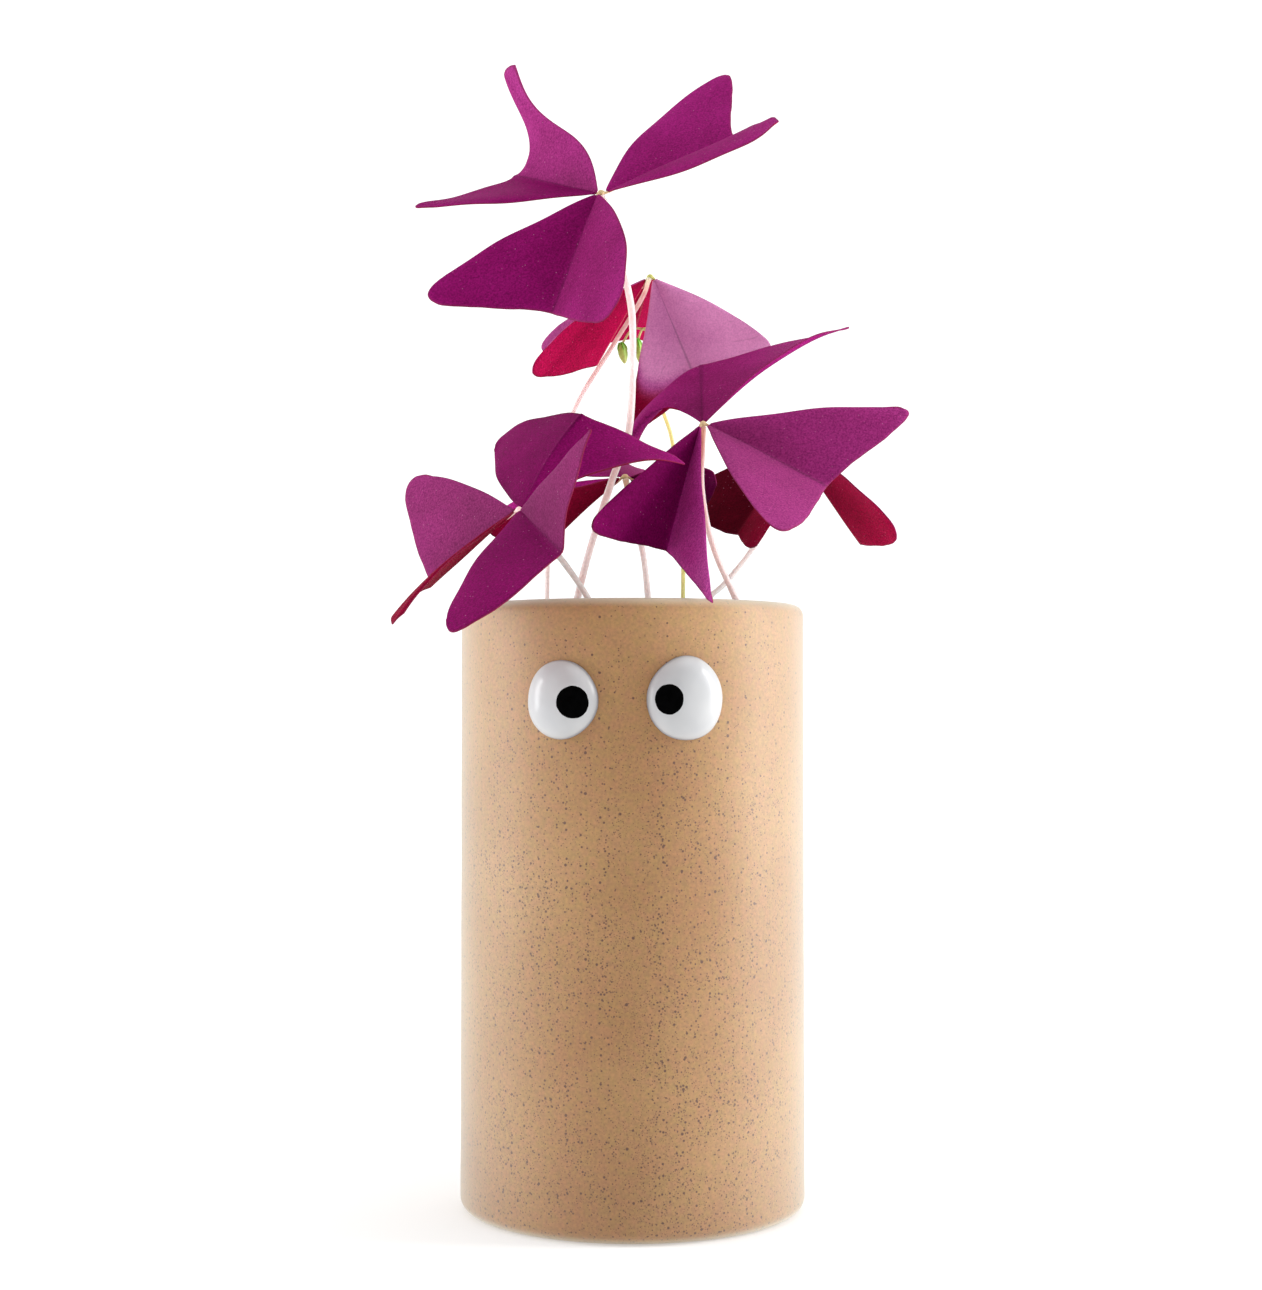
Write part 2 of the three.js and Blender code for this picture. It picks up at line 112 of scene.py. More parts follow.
def closedRings(rows, around, turn=False):
    # quads between rings of points, and triangles from the first ring and from the last one to two
    # poles, which stand after all the rings; turn makes the faces look the other way
    count = rows * around
    ring = np.arange(around)
    quads = gridQuads(rows, around, wrap=True)
    tris = np.concatenate([
        fan(count, ring, turn=not turn),
        fan(count + 1, ring + count - around, turn=turn),
    ])
    return quads[:, ::-1] if turn else quads, tris


def spline(points, count):
    # a Catmull-Rom curve through the points: each stretch is a cubic whose tangents at its ends are
    # half the step between the neighbours
    p = np.asarray(points, float)
    p = np.concatenate([[2 * p[0] - p[1]], p, [2 * p[-1] - p[-2]]])
    t = np.linspace(0, len(p) - 3, count)
    i = np.minimum(t.astype(int), len(p) - 4)
    s = (t - i)[:, None]
    a, b, c, d = p[i], p[i + 1], p[i + 2], p[i + 3]
    square = 2 * a - 5 * b + 4 * c - d
    cube = 3 * b - a - 3 * c + d
    return 0.5 * (2 * b + (c - a) * s + square * s ** 2 + cube * s ** 3)


# how far a tube's poles stand beyond its ends, how many ribs it may have round it, and the least bend,
# in square millimetres, from which its rings take their direction
tubes = dict(poleOut=0.2, ribs=5, leastBend=0.5)


def tube(path, radius, sides, ridges=0.0):
    # a ring of points round every point of the path, at that point's radius, closed by a pole at
    # each end; ridges makes the section slightly ribbed
    tangent = unit(np.gradient(path, axis=0))
    plane = np.cross(path[len(path) // 2] - path[0], path[-1] - path[0])
    bent = np.linalg.norm(plane) > tubes["leastBend"]
    reference = unit(plane) if bent else np.array([0.0, 1.0, 0.0])
    across = unit(np.cross(tangent, reference))
    up = np.cross(across, tangent)
    angle = ringAngles(sides)[..., None]
    size = np.asarray(radius).reshape(-1, 1, 1) * (1 + ridges * np.cos(tubes["ribs"] * angle))
    rings = path[:, None] + size * (np.cos(angle) * across[:, None] + np.sin(angle) * up[:, None])
    firstPole = path[:1] - tangent[:1] * tubes["poleOut"]
    lastPole = path[-1:] + tangent[-1:] * tubes["poleOut"]
    points = np.concatenate([rings.reshape(-1, 3), firstPole, lastPole])
    return points, *closedRings(len(path), sides)


def joined(parts):
    # several closed shapes as one set of arrays; each part is points, quads, tris and a value a point
    points, quads, tris, values, start = [], [], [], [], 0
    for p, q, t, value in parts:
        points.append(p)
        quads.append(q + start)
        tris.append(t + start)
        values.append(np.broadcast_to(value, len(p)))
        start += len(p)
    return np.concatenate(points), np.concatenate(quads), np.concatenate(tris), np.concatenate(values)


# small tools for materials

def coordinates(tree, kind="Object"):
    return tree.nodes.new("ShaderNodeTexCoord").outputs[kind]


def newMaterial(name, **sockets):
    # a material with these values on its shader, its node tree, and a place on the piece
    material = bpy.data.materials.new(name)
    material.use_nodes = True
    tree = material.node_tree
    for key, value in sockets.items():
        tree.nodes["Principled BSDF"].inputs[key.replace("_", " ")].default_value = value
    return material, tree, coordinates(tree)


def plug(tree, socket, value):
    # a link from another node's output, or a plain value
    if isinstance(value, bpy.types.NodeSocket):
        tree.links.new(value, socket)
    else:
        socket.default_value = value


def maths(tree, operation, a, b=0.0, c=0.0):
    node = tree.nodes.new("ShaderNodeMath")
    node.operation = operation
    for socket, value in zip(node.inputs, (a, b, c)):
        plug(tree, socket, value)
    return node.outputs[0]


def product(tree, *factors):
    # all the factors multiplied
    total = factors[0]
    for factor in factors[1:]:
        total = maths(tree, "MULTIPLY", total, factor)
    return total


def step(tree, value, low, high):
    # 0 below low and 1 above high, smoothly between; low above high turns it round
    node = tree.nodes.new("ShaderNodeMapRange")
    node.interpolation_type = "SMOOTHSTEP"
    plug(tree, node.inputs["Value"], value)
    node.inputs["From Min"].default_value = low
    node.inputs["From Max"].default_value = high
    return node.outputs["Result"]


def mixed(tree, factor, a, b, blend="MIX"):
    node = tree.nodes.new("ShaderNodeMix")
    node.data_type = "RGBA"
    node.blend_type = blend
    plug(tree, node.inputs[0], factor)
    plug(tree, node.inputs[6], a)
    plug(tree, node.inputs[7], b)
    return node.outputs[2]


def ramp(tree, factor, stops):
    # stops are pairs of a place from 0 to 1 and a colour
    node = tree.nodes.new("ShaderNodeValToRGB")
    plug(tree, node.inputs[0], factor)
    marks = node.color_ramp.elements
    while len(marks) < len(stops):
        marks.new(0.5)
    for mark, (place, colour) in zip(marks, stops):
        mark.position = place
        mark.color = (*colour, 1)
    return node.outputs[0]


def noise(tree, place, scale, detail=2.0, roughness=0.5):
    node = tree.nodes.new("ShaderNodeTexNoise")
    plug(tree, node.inputs["Vector"], place)
    node.inputs["Scale"].default_value = scale
    node.inputs["Detail"].default_value = detail
    node.inputs["Roughness"].default_value = roughness
    return node.outputs["Fac"]


def tinted(tree, place, colour, scale, detail, stops, roughness=0.5, share=1.0):
    # the colour multiplied by tints that follow a noise
    tint = ramp(tree, noise(tree, place, scale, detail, roughness), stops)
    return mixed(tree, share, colour, tint, "MULTIPLY")


def spots(tree, place, scale, share, size):
    # round specks: in a share of the cells of a pattern, a spot of up to this size against the cell.
    # The smallest one is about a third of that, and the edges are soft
    node = tree.nodes.new("ShaderNodeTexVoronoi")
    plug(tree, node.inputs["Vector"], place)
    node.inputs["Scale"].default_value = scale
    split = tree.nodes.new("ShaderNodeSeparateColor")
    tree.links.new(node.outputs["Color"], split.inputs[0])
    chosen = maths(tree, "LESS_THAN", split.outputs[0], share)
    smallest = size * 0.35
    reach = maths(tree, "MULTIPLY_ADD", split.outputs[1], size - smallest, smallest)
    inside = maths(tree, "SUBTRACT", reach, node.outputs["Distance"])
    soft = step(tree, inside, 0.0, size * 0.3)
    return product(tree, chosen, soft)


def painted(material, colour, height=None, distance=0.0, strength=0.0):
    # the material with this colour, and with a bump of the height, scaled by a distance in metres
    tree = material.node_tree
    shader = tree.nodes["Principled BSDF"]
    tree.links.new(colour, shader.inputs["Base Color"])
    if height is not None:
        node = tree.nodes.new("ShaderNodeBump")
        node.inputs["Strength"].default_value = strength
        node.inputs["Distance"].default_value = distance
        tree.links.new(height, node.inputs["Height"])
        tree.links.new(node.outputs[0], shader.inputs["Normal"])
    return material


def attribute(tree, name):
    node = tree.nodes.new("ShaderNodeAttribute")
    node.attribute_name = name
    return node.outputs["Fac"]


# pot

# foot, rimOuter, rimInner and innerFloor are the radii of its rounded edges, middle is that of the
# rings round its poles, and the wall gives up at most twice the shares oval and waves of its radius
pot = dict(
    radius=45, height=157, wall=5, floor=7, foot=3.5, rimOuter=3.0, rimInner=1.8, innerFloor=4,
    middle=4, oval=0.0011, waves=0.0006, around=224,
)
# the colour that darkens the lower pot is painted shade
potColours = dict(
    light=(0.455, 0.235, 0.068), warm=(0.38, 0.167, 0.036), speck=(0.105, 0.024, 0.001, 1),
    footShade=(0.82, 0.74, 0.68, 1), bare=(0.56, 0.45, 0.27, 1),
)
# heights in metres between which each of these fades in, and how strong it gets
potBands = dict(specks=(0.168, 0.08), footShade=(0.035, 0.0), rim=(0.1545, 0.1568), foot=(0.0022, 0.0006))
potStrengths = dict(footShade=0.6, rim=0.75, foot=0.45)
# layers of specks: cells a metre, share of the cells that hold one, size against a cell, strength
potSpecks = [(600, 0.45, 0.28, 1.0), (860, 0.85, 0.34, 1.0), (1150, 1.0, 0.36, 0.9), (1700, 1.0, 0.38, 0.6)]


def stonewareMaterial():
    material, tree, place = newMaterial(
        "speckledStoneware", Roughness=0.5, Specular_IOR_Level=0.5,
        Sheen_Weight=0.80, Sheen_Roughness=0.61, Sheen_Tint=(0.94, 1, 0.95, 1),
    )
    # warm and light clay in broad clouds, then a fine grain and a slight change of tint
    colour = ramp(tree, noise(tree, place, 22, 3), [(0.34, potColours["warm"]), (0.66, potColours["light"])])
    colour = tinted(tree, place, colour, 1400, 2, [(0.3, (0.80, 0.79, 0.78)), (0.7, (1.09, 1.08, 1.06))])
    colour = tinted(tree, place, colour, 420, 2, [(0.35, (0.97, 1.03, 0.90)), (0.65, (1.03, 0.96, 1.12))])
    split = tree.nodes.new("ShaderNodeSeparateXYZ")
    tree.links.new(place, split.inputs[0])
    height = split.outputs["Z"]

    def band(name):
        return product(tree, step(tree, height, *potBands[name]), potStrengths[name])

    # the iron specks crowd in patches and grow few towards the rim
    patches = noise(tree, place, 60, 2)
    crowded = maths(tree, "MULTIPLY_ADD", step(tree, patches, 0.36, 0.6), 0.6, 0.4)
    crowded = product(tree, crowded, step(tree, height, *potBands["specks"]))
    for scale, share, size, strength in potSpecks:
        held = maths(tree, "MULTIPLY_ADD", crowded, share * 0.9, share * 0.1)
        speck = product(tree, spots(tree, place, scale, held, size), strength)
        colour = mixed(tree, speck, colour, potColours["speck"])
    # painted shade: the pot darkens towards its foot where shade falls near the floor; bare clay on the rim,
    # and a paler band of that colour round the bottom of the foot
    colour = mixed(tree, band("footShade"), colour, mixed(tree, 1.0, colour, potColours["footShade"], "MULTIPLY"))
    colour = mixed(tree, band("rim"), colour, potColours["bare"])
    colour = mixed(tree, band("foot"), colour, potColours["bare"])
    return painted(material, colour, noise(tree, place, 700, 3, 0.6), 0.00006, 0.55)


def arc(x, y, radius, start, end, count):
    # points on a circle about x, y, from one angle in degrees to another
    angle = np.radians(np.linspace(start, end, count))
    return np.stack([x + radius * np.cos(angle), y + radius * np.sin(angle)], -1)


def makePot():
    # the profile turned round the axis, with a hand's slight unevenness that only takes away. The
    # profile goes from the underside over the foot, wall and rim down the inside to the floor
    p = pot
    outer, inner, top, floor = p["radius"], p["radius"] - p["wall"], p["height"], p["floor"]
    profile = np.concatenate([
        np.linspace((p["middle"], 0), (outer - p["foot"], 0), 12)[:-1],
        arc(outer - p["foot"], p["foot"], p["foot"], -90, 0, 10),
        np.linspace((outer, p["foot"]), (outer, top - p["rimOuter"]), 34)[1:-1],
        arc(outer - p["rimOuter"], top - p["rimOuter"], p["rimOuter"], 0, 90, 10),
        arc(inner + p["rimInner"], top - p["rimInner"], p["rimInner"], 90, 180, 8),
        np.linspace((inner, top - 6), (inner, floor + 6), 12),
        arc(inner - p["innerFloor"], floor + p["innerFloor"], p["innerFloor"], 0, -90, 6),
        np.linspace((inner - 2 * p["innerFloor"], floor), (p["middle"], floor), 8),
    ])
    angle = ringAngles(p["around"])
    height = profile[:, 1:2]
    oval = p["oval"] * (1 + np.sin(2 * angle + 0.02 * height))
    waves = p["waves"] * (1 + np.sin(0.19 * height + angle))
    radius = profile[:, :1] * (1 - oval - waves)
    points = np.stack([radius * np.cos(angle), radius * np.sin(angle), height + 0 * angle], -1)
    points = np.concatenate([points.reshape(-1, 3), [[0, 0, 0], [0, 0, floor]]])
    quads, tris = closedRings(len(profile), p["around"])
    makeMesh("potBody", points, quads, stonewareMaterial(), "pot", tris)


makePot()
print("pot made")


# eyes

eyes = {
    "eye_left": dict(turn=-22.6, height=132, width=18.3, tall=19.6, phase=0.4,
                     pupil=(4.2, -0.6), pupilSize=(3.70, 4.2)),
    "eye_right": dict(turn=16.7, height=132.3, width=19.4, tall=20.5, phase=2.3,
                      pupil=(-4.97, -0.2), pupilSize=(3.24, 3.92)),
}
# the back of the glaze is drawn in to this share of the outline, and stands so far off the pot
eyeDome = dict(height=5.0, sharpness=2.4, fullness=0.6, lip=0.1, backShare=0.97, backGap=0.02,
               firstRing=0.03, rings=34, around=96)
# the paint's edge dips this far below the glaze, and its hidden back lies a little deeper
pupilPaint = dict(lift=0.06, ragged=0.028, edgeSunk=0.4, backSunk=0.5, firstRing=0.06, rings=16, around=160)


def eyeMaterial():
    material, tree, place = newMaterial("whiteEyeGlaze", Roughness=0.28, Specular_IOR_Level=0.5)
    white = ramp(tree, noise(tree, place, 90, 2), [(0.3, (0.53, 0.54, 0.555)), (0.7, (0.585, 0.59, 0.595))])
    # painted shade: a blue-grey line at the glaze's outline stands for the thin shadow where it meets the
    # pot
    edge = product(tree, step(tree, attribute(tree, "reach"), 0.95, 1.0), 0.6)
    colour = mixed(tree, edge, white, (0.20, 0.22, 0.28, 1))
    return painted(material, colour, noise(tree, place, 160, 2), 0.0004, 0.35)


def pupilMaterial():
    material, tree, place = newMaterial("blackPupilPaint", Roughness=0.6, Specular_IOR_Level=0.01)
    black = ramp(tree, noise(tree, place, 700, 3), [
        (0.3, (0.0004, 0.0004, 0.0004)), (0.75, (0.0016, 0.0016, 0.0018)),
    ])
    return painted(material, black, noise(tree, place, 900, 2), 0.0001, 0.4)


def eyeOutline(eye, angle):
    # the oval's reach at an angle, against a true one
    outline = 1 + 0.015 * np.cos(3 * angle + eye["phase"]) + 0.010 * np.cos(2 * angle - eye["phase"])
    return outline + 0.006 * np.cos(5 * angle + 2 * eye["phase"])


def domeHeight(eye, side, rise):
    # the glaze stands out as (1 - r^sharpness)^fullness, with r 0 in the middle and 1 on the outline
    flatSide, flatRise = 2 * side / eye["width"], 2 * rise / eye["tall"]
    r = np.hypot(flatSide, flatRise) / eyeOutline(eye, np.arctan2(flatRise, flatSide))
    fall = np.maximum(0, 1 - r ** eyeDome["sharpness"]) ** eyeDome["fullness"]
    return eyeDome["height"] * fall + eyeDome["lip"]


def onPot(eye, side, rise, out):
    # a point so far sideways round the pot, up, and out of its wall, seen from the eye's middle
    turn = math.radians(eye["turn"]) + side / pot["radius"]
    reach = pot["radius"] + out
    return np.stack([reach * np.sin(turn), -reach * np.cos(turn), eye["height"] + rise + 0 * turn], -1)


def capOnPot(eye, grid, backShare, backOut, poles):
    # rings on the pot's wall from the middle outward, closed by a last ring that is drawn in to a
    # share of the one before, and by a pole in front and behind. A grid and the poles are their
    # places sideways, up and out
    side, rise, out = grid
    side = np.concatenate([side, side[-1:] * backShare])
    rise = np.concatenate([rise, rise[-1:] * backShare])
    out = np.concatenate([out, backOut + 0 * out[-1:]])
    points = np.concatenate([onPot(eye, side, rise, out).reshape(-1, 3), onPot(eye, *poles)])
    return points, *closedRings(*out.shape, turn=True)


def makeEye(name, eye, material):
    # rings from the dome's top to its edge, then a back that follows the pot's round wall
    gap, around = eyeDome["backGap"], eyeDome["around"]
    r = np.sin(np.linspace(eyeDome["firstRing"], 1, eyeDome["rings"]) * np.pi / 2)[:, None]
    angle = ringAngles(around)
    side = r * np.cos(angle) * eyeOutline(eye, angle) * eye["width"] / 2
    rise = r * np.sin(angle) * eyeOutline(eye, angle) * eye["tall"] / 2
    grid = side, rise, domeHeight(eye, side, rise)
    poles = np.zeros(2), np.zeros(2), np.array([eyeDome["height"] + eyeDome["lip"], gap])
    points, quads, tris = capOnPot(eye, grid, eyeDome["backShare"], gap, poles)
    reach = np.concatenate([np.repeat(np.append(r, 1.0), around), (0, 1)])
    makeMesh(name + "Glaze", points, quads, material, name, tris, attributes={"reach": reach})


def makePupil(name, eye, material):
    # a round dab of paint that lies on the dome and thins to nothing at its ragged edge
    r = np.linspace(pupilPaint["firstRing"], 1, pupilPaint["rings"])[:, None]
    angle = ringAngles(pupilPaint["around"])
    shiver = sum(np.sin(k * angle + 1.3 * k + eye["phase"]) / k ** 0.5 for k in (3, 7, 11, 19, 31))
    reach = r * (1 + pupilPaint["ragged"] * 0.6 * shiver * r ** 3)
    side = eye["pupil"][0] + eye["pupilSize"][0] * reach * np.cos(angle)
    rise = eye["pupil"][1] + eye["pupilSize"][1] * reach * np.sin(angle)
    out = domeHeight(eye, side, rise) + pupilPaint["lift"] * (1 - 2 * r ** 12)
    middle = [np.full(2, q) for q in eye["pupil"]]
    ends = domeHeight(eye, *middle) + np.array([pupilPaint["lift"], -pupilPaint["backSunk"]])
    sunk = out[-1:] - pupilPaint["edgeSunk"]
    points, quads, tris = capOnPot(eye, (side, rise, out), 1, sunk, (*middle, ends))
    makeMesh(name + "Pupil", points, quads, material, name, tris)


eyeGlaze, eyeBlack = eyeMaterial(), pupilMaterial()
for eyeName, eyeSizes in eyes.items():
    makeEye(eyeName, eyeSizes, eyeGlaze)
    makePupil(eyeName, eyeSizes, eyeBlack)
print("eyes made")


# leaves

# each leaf: its hub, its size against a full-grown one, and three leaflets. Directions are heading
# and rise in degrees; long is the midrib, left and right length against a full one. Each pair is for
# the left and the right half. The upper side's colour runs from dark plum to pale mauve and the under
# side's from maroon to crimson; both are the half's own colour with painted light and shade, lighter or
# darker as the light falls on that half. A painted sheen makes the upper side grey; above and below are
# how much of the under side's colour the two faces show, if not 0 and 1, and tips is how crimson the far
# corner gets
leaves = {
    "a": dict(hub=(-8.1, -18, 262.4), size=1.03, leaflets=[
        dict(mid=(132, 17), left=(169, -2), right=(119, 45), long=(1, 0.97, 1.04),
             toneAndShade=(0.31, 0.45), underToneAndShade=(0.5, 0.53), paintedSheen=(0, 0.05), below=(1, 0),
             leftShape=dict(belly=3.5, bulge=-3, round=0.12, sag=-2),
             rightShape=dict(belly=2, bulge=-18, round=0.14, blunt=0.12, wide=8, lift=3, sway=2.6,
                             tip=(-6, 0, 7))),
        dict(mid=(0, 22), left=(38, 45), right=(-33, 11), long=(1, 1.04, 0.97),
             toneAndShade=(0.39, 0.35), underToneAndShade=(0.5, 0.6), paintedSheen=(0.008, 0.01),
             leftShape=dict(belly=8, bellyPlace=0.42, lift=1, bulge=-3, round=0.14),
             rightShape=dict(belly=7.5, bellyPlace=0.78, lift=-4, sag=3, bulge=4, blunt=0.04, round=0.03,
                             wide=2)),
        dict(mid=(-137, -64), left=(-80, -38), right=(-178, -28), long=(1, 1, 0.95),
             toneAndShade=(0.32, 0.3), underToneAndShade=(0.5, 0.5), paintedSheen=(0.023, 0.003),
             leftShape=dict(belly=8, bellyPlace=0.6),
             rightShape=dict(belly=3, bulge=-2)),
    ]),
    "b": dict(hub=(4.9, 32, 250.7), size=0.885, leaflets=[
        dict(mid=(3, -66), left=(-12, -28), right=(180, -80), long=(1, 0.87, 0.88),
             toneAndShade=(0.98, 0.98), underToneAndShade=(0.9, 0.9), paintedSheen=(0.3, 0.3), tips=(0, 1),
             leftShape=dict(bulge=0, round=0.15),
             rightShape=dict(belly=-1.5)),
        dict(mid=(140, -50), left=(-159, -35), right=(136, -14), long=(0.92, 0.93, 0.95),
             toneAndShade=(0.8, 0.4), underToneAndShade=(0.82, 0.9), paintedSheen=(0, 0.116),
             leftShape=dict(lift=3)),
        dict(mid=(99, -22), left=(122, -12), right=(65, -12),
             toneAndShade=(0.6, 0.6), underToneAndShade=(0.95, 0.95)),
    ]),
    "c": dict(hub=(18.4, -8, 204.1), size=1.025, leaflets=[
        dict(mid=(-16, -28), left=(-3, 5), right=(-73, -34), long=(1, 1.02, 1),
             toneAndShade=(0.46, 0.43), underToneAndShade=(0.5, 0.5), paintedSheen=(0.048, 0.081),
             leftShape=dict(bulge=-2, round=0.1, blunt=0.1),
             rightShape=dict(bulge=1.5)),
        dict(mid=(89, 33), left=(134, -29), right=(28, 33.5), long=(1, 0.52, 1.08),
             toneAndShade=(0.36, 0.34), underToneAndShade=(0.5, 0.39), paintedSheen=(0.018, 0.023), below=(1, 0),
             leftShape=dict(belly=-20, bellyPlace=0.46, lift=9, bulge=2, sag=9, curl=9, round=0.1),
             rightShape=dict(lift=9, sag=1, bulge=-2)),
        dict(mid=(-133, -67), left=(-88, -53), right=(-134, -33), long=(1, 1.15, 0.95),
             toneAndShade=(0.7, 0.18), underToneAndShade=(0.4, 0.4),
             leftShape=dict(belly=-2, bulge=-2, round=0, blunt=0.05),
             rightShape=dict(belly=1, bulge=-1, round=0.15)),
    ]),
    "d": dict(hub=(-27.7, -44, 178.3), size=0.96, leaflets=[
        dict(mid=(50, 48), left=(103, 25), right=(18, 16), long=(1, 1, 0.91),
             toneAndShade=(0.2, 0.33), underToneAndShade=(0.4, 0.4),
             leftShape=dict(arch=3, belly=5, bulge=5, round=0.17),
             rightShape=dict(arch=3, belly=-1, lift=14, bulge=0, blunt=0.05, round=0.03)),
        dict(mid=(146, -33), left=(-150, -34), right=(130, 18), long=(0.93, 0.87, 0.92),
             toneAndShade=(0.4, 0.31), underToneAndShade=(0.43, 0.5), paintedSheen=(0, 0.063), above=(1, 0),
             leftShape=dict(belly=1, round=0.12, bulge=0, tip=(2, 0, -4))),
        dict(mid=(-69, -21), left=(-68, 17), right=(-115, -38), long=(1, 1.05, 1.03),
             toneAndShade=(0.22, 0.2), underToneAndShade=(0.5, 0.5), paintedSheen=(0.058, 0),
             leftShape=dict(belly=0, bulge=-8, round=0.02, blunt=0.09),
             rightShape=dict(belly=7, bulge=5, round=0.2)),
    ]),
    "e": dict(hub=(-2, 16, 192.8), size=0.98, leaflets=[
        dict(mid=(-172, -42), left=(-149, -17), right=(152, -9), long=(0.8, 0.81, 0.85),
             toneAndShade=(0.5, 0.5), underToneAndShade=(0.47, 0.45),
             rightShape=dict(lift=3)),
        dict(mid=(6, -17), left=(76, -16), right=(-24, 5), long=(0.65, 0.56, 0.47),
             toneAndShade=(0.35, 0.5), underToneAndShade=(0.1, 0.05), below=(1, 0.3),
             leftShape=dict(belly=0, bulge=-3, round=0.1),
             rightShape=dict(belly=3, lift=2, bulge=1, round=0.15)),
        dict(mid=(100, 16), left=(124, 8), right=(80, 6), long=(1, 0.95, 1),
             toneAndShade=(0.35, 0.35), underToneAndShade=(0.3, 0.3)),
    ]),
    "f": dict(hub=(44.6, 28, 201.1), size=0.87, leaflets=[
        dict(mid=(-10, -55), left=(44, -22), right=(-47, -30), long=(1, 1, 0.9),
             toneAndShade=(0.66, 0.5), underToneAndShade=(0.4, 0.71),
             rightShape=dict(belly=7)),
        dict(mid=(102, -12), left=(135, -14), right=(72, -4), long=(1, 0.8, 1),
             toneAndShade=(0.45, 0.45), underToneAndShade=(0.4, 0.4)),
        dict(mid=(-146, -52), left=(-110, -45), right=(157, -13), long=(0.96, 0.75, 0.72),
             toneAndShade=(0.44, 0.1), underToneAndShade=(0.45, 0.02), above=(1, 1),
             leftShape=dict(belly=4, bulge=3),
             rightShape=dict(belly=2, lift=2, bulge=5, blunt=0.18)),
    ]),
}
plainShape = dict(belly=3.2, bellyPlace=0.58, lift=0, sway=0, cup=1.5, arch=0, curl=0, bulge=2.5, sag=0,
                  blunt=0.13, round=0.25, wide=0, tip=(0, 0, 0))
blade = dict(
    crease=34, creaseStart=2.2, side=52, stalk=1.1, stalkRise=0.3, thickness=0.36,
    edgeSpread=0.6, edgeCurl=0.55, notchShare=0.33, bendPlace=0.75, rows=44, columns=34, firstRow=0.016,
)
# heights in millimetres of the small forms on a blade, and half widths of the two at the midrib
relief = dict(
    swell=0.132, ripple=0.216, ragged=0.06, crease=0.25, foldedCrease=0.9,
    groove=0.14, grooveWidth=0.5, keel=0.30, keelWidth=0.55,
)
# waves of the ragged far edge: how many radians each has to a half, and its share of the height
raggedWaves = [(21, 1), (37, 0.7), (64, 0.5)]
# how much darker or paler the tone gets across a half and along it, and where the tips' crimson starts
shading = dict(across=0.10, along=0.10, ribSharpness=60, tipStart=0.82, tipSlant=0.42, tipFade=0.26,
               tipTone=0.5, tipCrimson=0.68)
# side veins on a leaflet's length, how far outward they sweep, and the strength of each kind of mark
leafMarks = dict(veins=8.5, veinSweep=0.46, vein=0.2, rib=0.5, underRib=0.55, mottle=0.26, paintedGlint=0.30,
                 margin=0.45)
# the pale grey mauve here is a painted sheen, and the pale pink of the small dots is painted glints
leafColours = dict(
    upper=[(0.0, (0.10, 0.0004, 0.043)), (0.3, (0.20, 0.0022, 0.092)), (0.5, (0.30, 0.008, 0.155)),
           (0.7, (0.45, 0.036, 0.27)), (0.85, (0.56, 0.085, 0.39)), (1.0, (0.85, 0.265, 0.62))],
    under=[(0.0, (0.050, 0.0004, 0.0055)), (0.4, (0.165, 0.001, 0.018)), (0.7, (0.32, 0.002, 0.042)),
           (1.0, (0.52, 0.004, 0.085))],
    vein=(0.10, 0.001, 0.055, 1), rib=(0.09, 0.001, 0.045, 1), underRib=(0.50, 0.12, 0.14, 1),
    paintedSheen=(0.50, 0.34, 0.46, 1), paintedGlint=(0.62, 0.30, 0.45, 1), margin=(0.22, 0.03, 0.07, 1),
)


